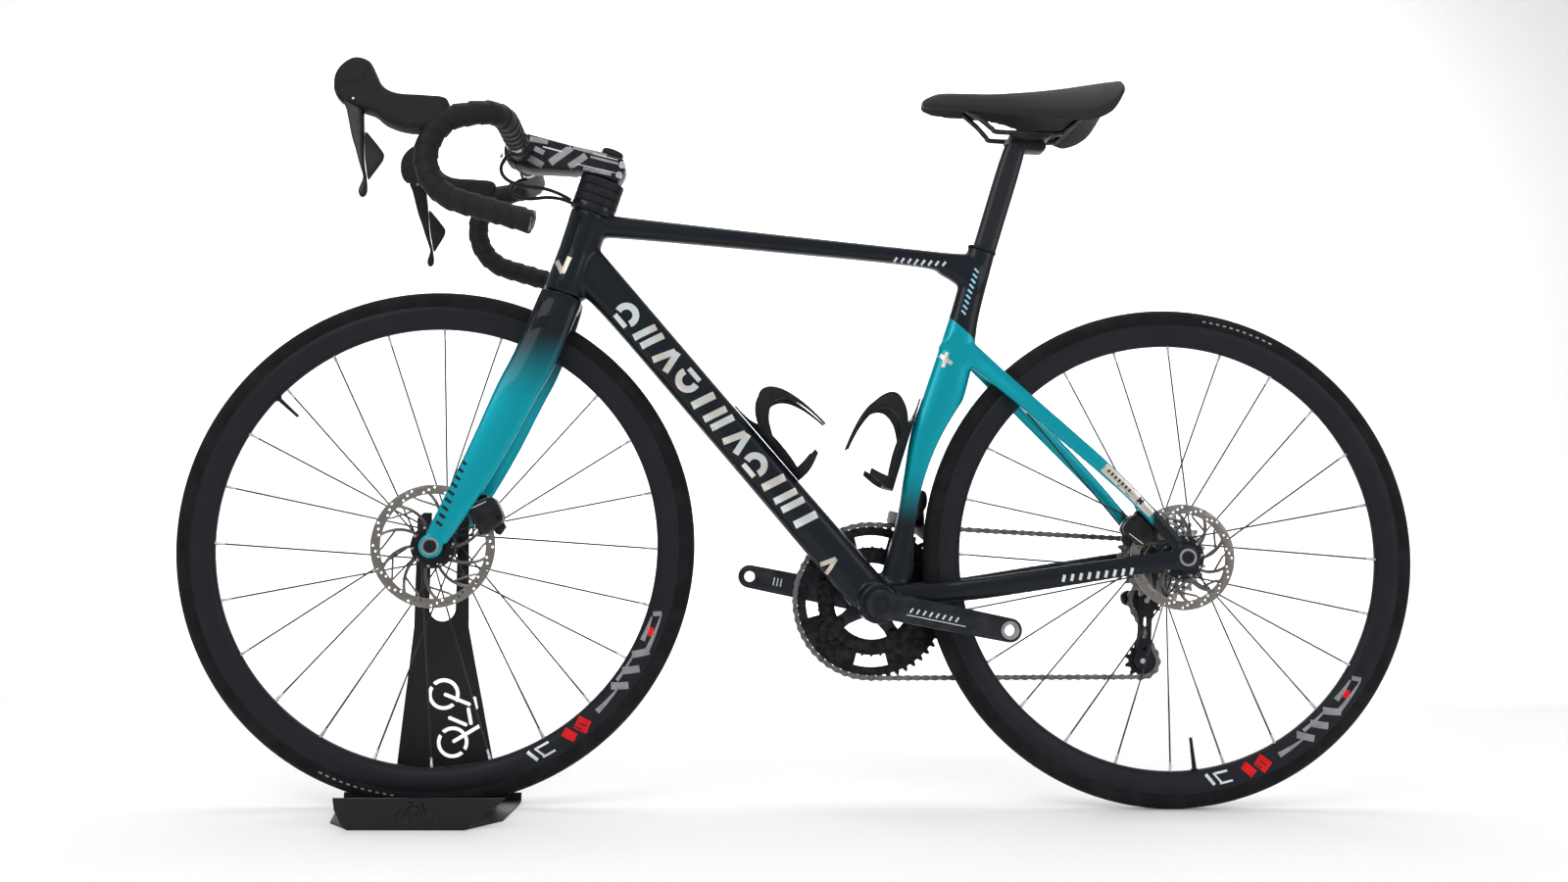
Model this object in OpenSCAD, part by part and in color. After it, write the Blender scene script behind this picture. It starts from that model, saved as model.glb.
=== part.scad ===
// Road bicycle held by the front hub in a folded sheet-steel display stand.
// Millimetres. Origin on the floor, midway between the wheels, on the middle plane.
// +X runs towards the rear wheel, +Y towards the chain side, +Z up.

/* [Wheels] */
// Distance between the front and rear axles
wheelbase = 983; // [940:1:1180]
// Outer radius of both tyres
wheel_r = 338; // [330:1:345]
// Width of the inflated tyre
tyre_w = 26; // [22:1:28]
// Radius where the tyre meets the rim
rim_r = 318; // [310:1:320]
// Depth of the rim from its edge to the spoke side
rim_depth = 30; // [22:1:50]
// Width of the rim at the tyre
rim_w = 24; // [20:1:26]
// Spokes in each wheel
spoke_count = 24; // [16:4:32]
// Spoke diameter
spoke_d = 2; // [1.6:0.1:2.4]
// Diameter of both through axles
axle_d = 12; // [10:1:15]
// Distance between the fork tips
front_hub_w = 100; // [96:1:110]
// Distance between the rear dropouts
rear_hub_w = 142; // [140:1:150]

/* [Brakes] */
// Outer radius of the front rotor
front_rotor_r = 80; // [70:5:90]
// Outer radius of the rear rotor
rear_rotor_r = 70; // [70:5:80]
// Thickness of both rotors
rotor_t = 1.8; // [1.6:0.1:2]
// Gap between each brake pad and the rotor at rest
pad_gap = 0.35; // [0.33:0.01:0.5]

/* [Fork and steering] */
// Angle of the steering axis from the floor
head_angle = 72.5; // [70:0.5:74]
// Distance of the front axle ahead of the steering axis
fork_rake = 47; // [40:1:52]
// Axle to crown length along the steering axis
fork_len = 368; // [365:1:400]
// Length of the head tube
head_tube_len = 117; // [100:1:160]
// Outside diameter of the head tube
head_tube_d = 56.6; // [54:0.2:64]
// Diameter of the steerer tube
steerer_d = 28.6; // [25.4:0.1:28.6]
// Height of each headset spacer
spacer_h = 12; // [8:1:16]
// Number of spacers below the stem
spacer_count = 3; // [1:1:4]
// Distance from the steering axis to the handlebar
stem_len = 115; // [90:1:140]
// Drop of the stem from the steerer clamp to the handlebar
stem_drop = 18; // [0:1:24]

/* [Handlebar] */
// Half of the width of the bar at the hoods
bar_half_w = 198; // [180:1:220]
// Diameter of the bar at the stem
bar_d = 31.8; // [31:0.1:31.8]
// Diameter of the wrapped bar
tape_d = 30; // [28:0.5:34]
// Radius of the hook of the drop
hook_r = 58; // [54:1:64]
// Length of the straight end of the drop
drop_end_len = 90; // [60:1:110]
// Inward lean of each brake lever and its hood
lever_lean = 9.5; // [0:0.5:12]

/* [Frame] */
// Distance from the rear axle back along the floor to the cranks
bb_back = 401.5; // [395:0.5:430]
// Drop of the crank axis below the rear axle
bb_drop = 66; // [60:1:76]
// Angle of the seat tube from the floor
seat_angle = 73.5; // [72:0.5:75]
// Length of the seat tube from the crank axis
seat_tube_len = 503; // [480:1:560]
// Depth of the down tube
down_tube_depth = 54; // [40:1:60]
// Width of the down tube
down_tube_w = 44; // [36:1:50]
// Depth of the top tube
top_tube_depth = 27; // [22:1:36]
// Gap between the rear tyre and the cut-out of the seat tube
tyre_gap = 14; // [10:1:20]

/* [Seat] */
// Depth of the seat post, front to back
post_depth = 32; // [28:1:34]
// Thickness of the seat post, side to side
post_w = 20; // [16:1:22]
// Height of the saddle rails above the top of the seat tube
saddle_rise = 160; // [90:1:200]
// Length of the saddle
saddle_len = 268; // [230:1:285]
// Width of the saddle
saddle_w = 142; // [126:1:160]

/* [Drive] */
// Length of each crank arm
crank_len = 170; // [165:1:177]
// Angle of the right crank arm above the forward direction
crank_angle = 10.6; // [0:0.1:45]
// Diameter of the crank spindle
spindle_d = 24; // [22:1:26]
// Teeth on the outer chainring
big_teeth = 52; // [46:1:53]
// Teeth on the inner chainring
small_teeth = 36; // [34:1:39]
// Radius of the thread for each pedal
pedal_r = 7.14; // [6.35:0.01:7.2]

/* [Stand] */
// Thickness of the sheet steel
sheet_t = 2; // [1.5:0.5:3]
// Width of the slot that takes the end of the front hub
slot_w = 35; // [30:1:38]
// Height of the upright plate
plate_h = 385; // [370:1:400]
// Distance of the front lip from the middle of the tyre
lip_y = 145; // [120:1:180]
// Height of the front lip
lip_h = 38; // [25:1:60]

/* [Hidden] */
$fn = 64;
fit = 0.05;
seat_gap = 0.1;
pitch = 12.7;
cog_teeth = [11, 12, 13, 14, 15, 17, 19, 21, 24, 27, 30];
cog_step = 3.74;

front_x = -wheelbase / 2;
rear_x = wheelbase / 2;
front_z = wheel_r + sheet_t + seat_gap;
rear_z = wheel_r;
front_rotor_y = -39.6;
rear_rotor_y = -56;

lean = 90 - head_angle;
foot_x = front_x + fork_rake * sin(head_angle);
foot_z = front_z - fork_rake * cos(head_angle);
crown_s = fork_len;
head_s = crown_s + 1;
head_top_s = head_s + head_tube_len;
spacer_s = head_top_s + 0.5;
cover_h = 12;
clamp_s = spacer_s + cover_h + spacer_count * spacer_h + 0.5;
clamp_h = 34;
steerer_top_s = clamp_s + clamp_h + 1;
bar_s = clamp_s + clamp_h / 2 - stem_drop;

bar_x = foot_x - stem_len * cos(lean) + bar_s * sin(lean);
bar_z = foot_z + stem_len * sin(lean) + bar_s * cos(lean);
hook_x = bar_x - 30;
hook_z = bar_z - 61;
hook_top = 122;
hook_end = 255;
bar_flare = 13;

bb_x = rear_x - bb_back;
bb_z = rear_z - bb_drop;
shell_half = 43.2;
shell_r = 27;
ring_y = 47.8;
inner_ring_y = 40.5;
ring_t = 2.4;
bolt_circle_r = 55;

seat_x = bb_x + seat_tube_len * cos(seat_angle);
seat_z = bb_z + seat_tube_len * sin(seat_angle);
cut_r = wheel_r + tyre_gap;
post_x = seat_x + 3;
rail_z = seat_z + saddle_rise;
rail_y = 22;
rail_d = 7;
post_top = (rail_z - 10 - seat_z) / sin(seat_angle);
head_x = post_x + post_top * cos(seat_angle);

cog_y = 66;
pulley_r = pulley_pitch_r(11);
guide_x = rear_x - 11;
guide_z = rear_z - 62;
tension_x = rear_x - 17;
tension_z = rear_z - 146;

plate_y = 42;
pad_t = 3.6;

// Pitch radius of a sprocket with n teeth
function pulley_pitch_r(n) = pitch / 2 / sin(180 / n);

// Angle in the side view of a chain run from one sprocket to the next
function run_angle(a, b) =
    atan2(b[1] - a[1], b[0] - a[0])
    + asin((a[2] * a[4] - b[2] * b[4]) / norm([b[0] - a[0], b[1] - a[1]]));

// Point where a run at this angle touches a sprocket
function touch(c, angle) = [
    c[0] + c[2] * c[4] * sin(angle), c[3], c[1] - c[2] * c[4] * cos(angle)
];

// Lean of a tube between two points, measured from the vertical in the side view
function tube_lean(a, b) = atan2(b[0] - a[0], b[2] - a[2]);

module at(x, y, z) translate([x, y, z]) children();

// Frame of the steering axis: local z runs up the axis, local x to the rear
module steering_frame() at(foot_x, 0, foot_z) rotate([0, lean, 0]) children();

// A cylinder along Y from y0 to y1
module y_rod(r, y0, y1) at(0, y0, 0) rotate([-90, 0, 0]) cylinder(r = r, h = y1 - y0);

module y_ring(r_out, r_in, y0, y1) difference() {
    y_rod(r_out, y0, y1);
    y_rod(r_in, y0 - 1, y1 + 1);
}

// A flat side-view outline extruded from y0 to y1
module side_plate(y0, y1) at(0, y1, 0) rotate([90, 0, 0]) linear_extrude(y1 - y0) children();

// A round rod between two points
module rod(a, b, r) {
    d = b - a;
    translate(a)
        rotate([0, acos(d[2] / norm(d)), atan2(d[1], d[0])])
            cylinder(r = r, h = norm(d), $fn = 16);
}

// Two round ends joined by a straight stretch, in the side view
module stadium(a, b, r) {
    d = b - a;
    translate(a) circle(r = r);
    translate(b) circle(r = r);
    translate(a) rotate(atan2(d[1], d[0])) translate([0, -0.99 * r]) square([norm(d), 1.98 * r]);
}

// ---------------------------------------------------------------- stand
lip_bend = [-72, 68];
lip_top = [-90, 116];
tray_far = [-122, 112];
plate_foot = [-58, 84];
plate_top = [-37, 36];
plate_waist_z = 231;

module icon_ring(r, w) difference() {
    circle(r = r);
    circle(r = r - w);
    for (a = [40, 220]) rotate(a) translate([0, -w / 2]) square([r + 1, w]);
}

// Simple pictogram of a bicycle, cut through the steel, with bridges left in its rings
icon_strokes = [
    [[-1.5, 0.1], [-0.6, 1.45]], [[-0.9, 1.85], [-0.3, 1.85]], [[-0.3, 1.35], [0.6, 1.35]],
    [[0.62, 1.0], [0, 0.1]], [[1.5, 0.1], [0.9, 1.8]]
];

module bicycle_icon(r, w) {
    for (s = [-1, 1]) translate([s * r * 1.55, 0]) icon_ring(r, w);
    for (p = icon_strokes) stadium(p[0] * r, p[1] * r, w / 2, $fn = 16);
}

module stand_upright() difference() {
    polygon([
        [plate_foot[0], 0], [plate_foot[1], 0], [plate_top[1], plate_waist_z],
        [plate_top[1] - 4, plate_h - 6], [plate_top[1] - 10, plate_h], [plate_top[0] + 8, plate_h],
        [plate_top[0], plate_h - 8], [plate_top[0], plate_waist_z]
    ]);
    translate([0, plate_waist_z + 8 + slot_w / 2]) circle(d = slot_w);
    translate([-slot_w / 2, plate_waist_z + 8 + slot_w / 2]) square([slot_w, plate_h]);
    translate([12, 110]) rotate(-78) bicycle_icon(21, 5);
}

module stand_tray() polygon([
    [lip_bend[0], -lip_y], [lip_bend[1], -lip_y], [lip_top[1] - 10, -lip_y + 55],
    [tray_far[1], plate_y - 20], [tray_far[1], plate_y + sheet_t],
    [tray_far[0], plate_y + sheet_t], [tray_far[0], plate_y - 20],
    [lip_top[0] - 12, -lip_y + 40]
]);

module stand() color("#17181a") at(front_x, 0, 0) {
    linear_extrude(sheet_t) stand_tray();
    side_plate(plate_y, plate_y + sheet_t) stand_upright();
    side_plate(plate_y, plate_y + sheet_t)
        translate([tray_far[0], 0]) square([tray_far[1] - tray_far[0], 12]);
    side_plate(-lip_y - sheet_t, -lip_y) difference() {
        polygon([
            [lip_bend[0], 0], [lip_bend[1], 0], [lip_top[1], lip_h], [lip_top[0], lip_h],
            [lip_top[0] + 2, lip_h - 14], [lip_bend[0] - 8, 8]
        ]);
        translate([8, 16]) bicycle_icon(9, 1.6);
    }
}

// ---------------------------------------------------------------- wheels
// A tyre: a tube open towards the rim
module tyre() {
    r = tyre_w / 2;
    rotate([90, 0, 0]) rotate_extrude($fn = 96) difference() {
        translate([wheel_r - r, 0]) circle(r = r);
        translate([wheel_r - r, 0]) circle(r = r - 2.4);
        translate([wheel_r - 3 * r, -r]) square([rim_r + 0.1 - wheel_r + 3 * r, 2 * r]);
    }
}

module rim() {
    nose = rim_r - rim_depth;
    w = rim_w / 2;
    rotate([90, 0, 0]) rotate_extrude($fn = 96) difference() {
        polygon([
            [rim_r, -w], [rim_r, w], [nose + 12, w - 1], [nose + 3, 6], [nose, 3], [nose, -3],
            [nose + 3, -6], [nose + 12, 1 - w]
        ]);
        polygon([
            [rim_r - 9, 2 - w], [rim_r - 9, w - 2], [nose + 12, w - 3], [nose + 4, 4],
            [nose + 4, -4], [nose + 12, 3 - w]
        ]);
        translate([rim_r - 6, 2 - w]) square([8, 2 * w - 4]);
    }
}

// Half of the spokes lean forward and half back, on both sides of each flange
module spokes(flange_l, flange_r, flange_rad) {
    per_side = spoke_count / 2;
    swing = 56;
    tip_r = rim_r - rim_depth - 0.3;
    for (i = [0 : spoke_count - 1]) {
        right = i % 2;
        trail = floor(i / 2) % 2 == 0 ? 1 : -1;
        a = i * 360 / spoke_count;
        h = a + trail * swing;
        outward = trail * (right ? 1 : -1) > 0;
        y = (right ? flange_r : flange_l) + trail * (1.5 + spoke_d / 2 + (outward ? 0.95 : 0.3));
        rod(
            [flange_rad * cos(h), y, flange_rad * sin(h)],
            [tip_r * cos(a), right ? 1.5 : -1.5, tip_r * sin(a)], spoke_d / 2
        );
        rod(
            [(tip_r - 14) * cos(a), y * 14 / tip_r + (right ? 1.5 : -1.5), (tip_r - 14) * sin(a)],
            [tip_r * cos(a), right ? 1.5 : -1.5, tip_r * sin(a)], 2
        );
    }
}

// A hub shell with two flanges, open for its bearings and axle
module hub_shell(y0, y1, flange_l, flange_r, flange_rad, rotor_y) difference() {
    union() {
        y_rod(15, y0, y1);
        y_rod(17, rotor_y - 3, rotor_y + 6);
        for (y = [flange_l, flange_r]) y_ring(flange_rad, 14, y - 1.5, y + 1.5);
    }
    y_rod(10, y0 - 1, y1 + 1);
    y_rod(13 + fit / 2, y0 - 1, y0 + 7);
    y_rod(13 + fit / 2, y1 - 7, y1 + 1);
}

module hub_bearings(y0, y1) {
    y_ring(13, axle_d / 2 + fit, y0, y0 + 7);
    y_ring(13, axle_d / 2 + fit, y1 - 7, y1);
}

// Brake rotor: a slotted ring carried by slanted arms
module rotor(r, y) at(0, y + rotor_t / 2, 0) rotate([90, 0, 0]) linear_extrude(rotor_t) {
    arms = 8;
    difference() {
        circle(r = r, $fn = 96);
        circle(r = r - 13, $fn = 96);
        for (i = [0 : 23]) rotate(i * 15) translate([r - 7, 0]) circle(d = 4, $fn = 16);
    }
    difference() {
        circle(r = 29);
        circle(r = 17 + fit);
    }
    for (i = [0 : arms - 1]) rotate(i * 360 / arms)
        translate([26, 0]) rotate(-14) translate([0, -2.5]) square([r - 34, 5]);
}

module front_hub_frame() at(front_x, 0, front_z) children();

module rear_hub_frame() at(rear_x, 0, rear_z) children();

front_hub_left = -43;
front_hub_right = 40;
front_flange = [-24, 32];
rear_hub_left = -62;
rear_hub_right = 24;
rear_flange = [-38, 17];

module front_tyre() color("#191a1b") front_hub_frame() tyre();
module front_rim() color("#202329") front_hub_frame() rim();
module front_spokes() color("#2a2b2d") front_hub_frame() spokes(front_flange[0], front_flange[1], 20);
module front_hub() color("#161616") front_hub_frame()
    hub_shell(front_hub_left, front_hub_right, front_flange[0], front_flange[1], 22, front_rotor_y);
module front_hub_bearings() color("#9a9a9c") front_hub_frame()
    hub_bearings(front_hub_left, front_hub_right);
module front_rotor() color("#8d857b") front_hub_frame() rotor(front_rotor_r, front_rotor_y);

module rear_tyre() color("#191a1b") rear_hub_frame() tyre();
module rear_rim() color("#202329") rear_hub_frame() rim();
module rear_spokes() color("#2a2b2d") rear_hub_frame() spokes(rear_flange[0], rear_flange[1], 22);
module rear_hub() color("#161616") rear_hub_frame()
    hub_shell(rear_hub_left, rear_hub_right, rear_flange[0], rear_flange[1], 24, rear_rotor_y);
module rear_hub_bearings() color("#9a9a9c") rear_hub_frame()
    hub_bearings(rear_hub_left, rear_hub_right);
module rear_rotor() color("#8d857b") rear_hub_frame() rotor(rear_rotor_r, rear_rotor_y);

// Through axle with the caps that hold the hub between the dropouts
module through_axle(w, wall, cap_l, cap_r, head_r) {
    y_rod(axle_d / 2, -w / 2 - wall - 1, w / 2 + wall);
    y_rod(head_r, -w / 2 - wall - 3, -w / 2 - wall - 0.2);
    y_ring(10, axle_d / 2 + fit / 2, -w / 2 + 0.1, cap_l);
    y_ring(10, axle_d / 2 + fit / 2, cap_r, w / 2 - 0.1);
}

module front_axle() color("#8e8f92") front_hub_frame()
    through_axle(front_hub_w, 11, front_hub_left - 0.3, front_hub_right + 0.3, 8);
module rear_axle() color("#8e8f92") rear_hub_frame()
    through_axle(rear_hub_w, 7, rear_hub_left - 0.3, cog_y + 2.2, 8);

// ---------------------------------------------------------------- fork and steering
fork_tip_w = 11;

// Each row is the share of the rake, the share of the length, y, lean, depth and width
leg_rows = [
    [0.93, 0.03, 55.5, 12, 30, 11], [0.6, 0.245, 54, 10, 42, 12], [0.39, 0.42, 50, 8, 49, 14],
    [0.23, 0.6, 45, 7, 54, 15], [0.09, 0.72, 39, 5, 56, 17], [0.02, 0.85, 31, 3, 57, 20],
    [0, 0.95, 22, 0, 57, 24], [0, 1, 14, 0, 56, 28]
];

module fork_legs() steering_frame() both_sides() loft([for (q = leg_rows)
    [-q[0] * fork_rake, q[2], q[1] * fork_len, q[3], q[4], q[5]]]);

module fork() color("#0096ae") {
    difference() {
        union() {
            fork_legs();
            front_hub_frame() both_sides()
                y_rod(15.5, front_hub_w / 2, front_hub_w / 2 + fork_tip_w);
            steering_frame() at(0, 0, crown_s - 20) cylinder(d = head_tube_d - 1, h = 20);
        }
        front_hub_frame() y_rod(axle_d / 2 + fit, -80, 80);
        front_hub_frame() y_rod(wheel_r + 4, -tyre_w / 2 - 4, tyre_w / 2 + 4);
        front_hub_frame() y_rod(28, 40, front_hub_w / 2);
        front_hub_frame() y_rod(28, -front_hub_w / 2, -40);
    }
    steering_frame() at(0, 0, crown_s - 1) cylinder(d = steerer_d, h = steerer_top_s - crown_s);
}

module headset_bearings() color("#9a9a9c") steering_frame() for (s = [head_s, head_top_s - 8])
    difference() {
        at(0, 0, s) cylinder(r = 21, h = 8);
        at(0, 0, s - 1) cylinder(d = steerer_d + 2 * fit, h = 10);
    }

module spacer_plan() {
    for (x = [-8, 8]) translate([x, 0]) circle(r = 22);
    translate([-8, -22]) square([16, 44]);
}

module headset_spacers() color("#1b1c1e") steering_frame() difference() {
    union() {
        at(0, 0, spacer_s) linear_extrude(cover_h - 0.1) spacer_plan();
        for (i = [0 : spacer_count - 1])
            at(0, 0, spacer_s + cover_h + i * spacer_h) linear_extrude(spacer_h - 0.1) spacer_plan();
        at(0, 0, clamp_s + clamp_h + 0.2) cylinder(r = 15, h = 9);
    }
    at(0, 0, 0) cylinder(d = steerer_d + 2 * fit, h = steerer_top_s + 0.2);
}

module stem_outline() polygon([
    [-stem_len + 0.5, bar_s - 20], [-stem_len + 22, bar_s - 20], [-38, clamp_s - 5],
    [-31, clamp_s], [22, clamp_s], [26, clamp_s + 20], [18, clamp_s + clamp_h],
    [-15, clamp_s + clamp_h], [-stem_len + 0.5, bar_s + 26]
]);

module faceplate_outline() polygon([
    [-stem_len - 0.5, bar_s - 20], [-stem_len - 0.5, bar_s + 26], [-stem_len - 13, bar_s + 22],
    [-stem_len - 21, bar_s + 13], [-stem_len - 23, bar_s + 1], [-stem_len - 20, bar_s - 11],
    [-stem_len - 10, bar_s - 20]
]);

module bar_bore() at(-stem_len, 0, bar_s) y_rod(bar_d / 2 + fit, -40, 40);

module stem() color("#1d1e20") steering_frame() difference() {
    side_plate(-21, 21) stem_outline();
    bar_bore();
    at(0, 0, clamp_s - 1) cylinder(d = steerer_d + 2 * fit, h = clamp_h + 2);
    for (z = [10, 24], x = [20]) at(x, 0, clamp_s + z) y_rod(2.6, -30, 30);
}

module stem_faceplate() color("#1d1e20") steering_frame() difference() {
    side_plate(-21, 21) faceplate_outline();
    bar_bore();
}

module stem_bolts() color("#b9babd") steering_frame() {
    for (z = [10, 24]) at(20, 0, clamp_s + z) {
        y_rod(2.5, -22, 21);
        y_rod(4, -25, -21.1);
    }
}

// Side-view route of the drop, from the top corner round the hook to the bar end
hook_steps = 10;
hook_points = [for (i = [0 : hook_steps]) let (a = hook_top + (hook_end - hook_top) * i / hook_steps)
    [hook_x + hook_r * cos(a), hook_z + hook_r * sin(a)]];
drop_end = [
    hook_points[hook_steps][0] + drop_end_len * cos(hook_end - 270),
    hook_points[hook_steps][1] + drop_end_len * sin(hook_end - 270)
];
bar_route = [
    [bar_x, 0, bar_z], [bar_x, 60, bar_z], [bar_x, bar_half_w - 60, bar_z],
    [bar_x - 3, bar_half_w - 32, bar_z],
    [bar_x - 13, bar_half_w - 13, bar_z - 0.5], [bar_x - 32, bar_half_w - 3, bar_z - 4],
    for (i = [0 : hook_steps]) [
        hook_points[i][0], bar_half_w + bar_flare * i / hook_steps, hook_points[i][1]
    ],
    [drop_end[0], bar_half_w + bar_flare + 2, drop_end[1]]
];

function unit(v) = v / norm(v);
function route_way(p, i) = unit(p[min(i + 1, len(p) - 1)] - p[max(i - 1, 0)]);

// Closes a list of rings of points, each with the same number of sides, into one solid
module skin(rings, sides) {
    n = len(rings) / sides;
    polyhedron(rings, [
        [for (k = [0 : sides - 1]) k],
        for (i = [0 : n - 2], k = [0 : sides - 1]) let (m = (k + 1) % sides) each [
            [i * sides + k, (i + 1) * sides + k, (i + 1) * sides + m],
            [i * sides + k, (i + 1) * sides + m, i * sides + m]
        ],
        [for (k = [0 : sides - 1]) n * sides - 1 - k]
    ], convexity = 8);
}

// A round tube swept along a route
module sweep(p, r, sides = 12) skin([for (i = [0 : len(p) - 1]) let (
        t = route_way(p, i), u = unit(cross(t, [0.3, 0.2, 1])), v = cross(t, u)
    ) for (k = [0 : sides - 1]) let (a = 360 * k / sides)
        p[i] + r * (u * cos(a) + v * sin(a))], sides);

// An oval tube; each row is x, y, z, lean from the vertical, depth and width
module loft(rows, sides = 24) skin([for (q = rows) for (k = [0 : sides - 1])
    let (a = 360 * k / sides, u = q[4] / 2 * cos(a))
        [q[0] + u * cos(q[3]), q[1] + q[5] / 2 * sin(a), q[2] - u * sin(q[3])]], sides);

module both_sides() {
    children();
    mirror([0, 1, 0]) children();
}

bar_core_d = 23.8;
tape_route = [for (i = [1 : len(bar_route) - 1]) bar_route[i]];

module handlebar() color("#222326") {
    at(bar_x, 0, bar_z) y_rod(bar_d / 2, -55, 55);
    both_sides() sweep(bar_route, bar_core_d / 2);
}

module bar_tape() color("#121314") both_sides() difference() {
    sweep(tape_route, tape_d / 2);
    sweep(bar_route, bar_core_d / 2 + 0.2);
}

// Side-view outlines of the hood, lever and paddle are given from the middle of the bar
pivot = [-175, 3];

module hood_outline() polygon([
    [-67, 12], [-124, 15], [-142, 25], [-153, 48], [-162, 58], [-177, 61], [-192, 53], [-201, 38],
    [-201, 23], [-192, 8], [-152, -10], [-140, -22], [-115, -31], [-89, -31], [-67, -18]
]);

module lever_outline() polygon([
    [-185, -3], [-177, -37], [-167, -69], [-159, -94], [-163, -111], [-159, -117], [-154, -112],
    [-156, -93], [-160, -69], [-161.5, -37], [-165, -11]
]);

module paddle_outline() polygon([
    [-161.2, -37], [-160.6, -33], [-137, -62], [-138, -70], [-147, -85], [-153.5, -96],
    [-155, -91], [-159, -69]
]);

// Each lever leans in about a line along the bar at the foot of its hood
module lever_frame() at(bar_x, bar_half_w, bar_z - 16) rotate([lever_lean, 0, 0])
    at(0, 0, 16) children();

module one_hood() difference() {
    lever_frame() side_plate(-14, 14) hood_outline();
    sweep(tape_route, tape_d / 2 + 0.3);
    lever_frame() side_plate(-4.4, 4.4) {
        translate(pivot) circle(r = 8);
        polygon([[-205, 14], [-156, 6], [-148, -20], [-205, -20]]);
    }
}

module one_hood_pin() lever_frame() at(pivot[0], 0, pivot[1]) y_rod(2, -13, 13);

module one_lever() difference() {
    lever_frame() side_plate(-4, 4) {
        lever_outline();
        translate(pivot) circle(r = 6);
        stadium(pivot, [-175, -12], 6);
    }
    lever_frame() at(pivot[0], 0, pivot[1]) y_rod(2 + fit, -5, 5);
}

module one_paddle() lever_frame() side_plate(-2, 2) paddle_outline();

module lever_hoods() color("#18191a") both_sides() {
    one_hood();
    one_hood_pin();
}
module brake_lever_left() color("#111214") mirror([0, 1, 0]) one_lever();
module brake_lever_right() color("#111214") one_lever();
module shift_paddle_left() color("#151619") mirror([0, 1, 0]) one_paddle();
module shift_paddle_right() color("#151619") one_paddle();

// Hoses run from under the tape in a loop below the stem to the cover
hose_route = [
    [bar_x - 1, 66, bar_z - 17.2], [bar_x - 12, 62, bar_z - 21], [bar_x - 20, 54, bar_z - 34],
    [bar_x - 14, 46, bar_z - 46], [bar_x + 6, 36, bar_z - 52], [bar_x + 32, 25, bar_z - 52],
    [bar_x + 52, 15, bar_z - 56], [bar_x + 68, 9, bar_z - 63]
];

module control_hoses() color("#101112") both_sides() sweep(hose_route, 2.5, 8);

// ---------------------------------------------------------------- brakes
// Caliper block that straddles the rotor, in a frame turned so local x points outwards
module caliper(r, y, outer, inner, half) difference() {
    union() {
        at(r - 20, 0, -half) translate([0, y - outer, 0])
            cube([40, outer + inner, 2 * half]);
        at(r - 4, y, -half - 7) cube([18, inner, 2 * half + 14]);
    }
    at(r - 30, y - 5, -half - 10) cube([34, 10, 2 * half + 20]);
}

module pad(r, y, side) {
    face = y + side * (rotor_t / 2 + pad_gap);
    at(r - 18, side < 0 ? face - pad_t : face, -12) cube([16, pad_t, 24]);
}

front_brake_angle = -31;
rear_brake_angle = -149;

module front_brake_frame() front_hub_frame() rotate([0, front_brake_angle, 0]) children();
module rear_brake_frame() rear_hub_frame() rotate([0, rear_brake_angle, 0]) children();

module front_caliper() color("#141517") difference() {
    front_brake_frame() caliper(front_rotor_r, front_rotor_y, 13, 15, 20);
    fork_legs();
}
module front_pad_outer() color("#5b4a3c") front_brake_frame() pad(front_rotor_r, front_rotor_y, -1);
module front_pad_inner() color("#5b4a3c") front_brake_frame() pad(front_rotor_r, front_rotor_y, 1);
module rear_caliper() color("#141517") rear_brake_frame()
    caliper(rear_rotor_r, rear_rotor_y, 7, 14, 17);
module rear_pad_outer() color("#5b4a3c") rear_brake_frame() pad(rear_rotor_r, rear_rotor_y, -1);
module rear_pad_inner() color("#5b4a3c") rear_brake_frame() pad(rear_rotor_r, rear_rotor_y, 1);

// ---------------------------------------------------------------- frame
function on_steering(s) = [foot_x + s * sin(lean), 0, foot_z + s * cos(lean)];
function on_seat(d) = [bb_x + d * cos(seat_angle), 0, bb_z + d * sin(seat_angle)];

module head_tube_body(grow = 0) steering_frame() at(0, 0, head_s)
    cylinder(d = head_tube_d + 2 * grow, h = head_tube_len);

module head_tube() color("#0c1117") difference() {
    head_tube_body();
    steering_frame() {
        at(0, 0, head_s - 1) cylinder(r = 19, h = head_tube_len + 2);
        at(0, 0, head_s - 1) cylinder(r = 21 + fit / 2, h = 9);
        at(0, 0, head_top_s - 8) cylinder(r = 21 + fit / 2, h = 9);
    }
}

module shell_body(grow = 0) at(bb_x, 0, bb_z) y_rod(shell_r + grow, -shell_half, shell_half);

tt_front = on_steering(head_top_s - 14);
tt_rear = on_seat(seat_tube_len - 20);
tt_lean = tube_lean(tt_front, tt_rear);

// Each row is the share of the length, the fall of its middle and the depth
top_rows = [[0, 2, 32], [0.1, 0, 29], [0.45, 0, 24.5], [0.86, 1, 23], [0.92, 6, 33], [1, 22, 66]];

module top_tube() color("#0c1117") difference() {
    loft([for (q = top_rows) let (p = tt_front + (tt_rear - tt_front) * q[0])
        [p[0], 0, p[2] - q[1], tt_lean, q[2], q[0] < 0.1 ? 36 : 30]]);
    head_tube_body(fit);
    steering_frame() at(0, 0, head_top_s - 1) cylinder(r = 36, h = 40);
    seat_tube_body();
}

dt_front = on_steering(head_s + 58.5);
dt_rear = [bb_x, 0, bb_z];
dt_lean = tube_lean(dt_front, dt_rear);
down_rows = [[0, 4, 66, 36], [0.13, 0, 54, 42], [0.5, 0, 53, 44], [0.85, 0, 55, 46], [0.98, 0, 56, 56]];

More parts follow.
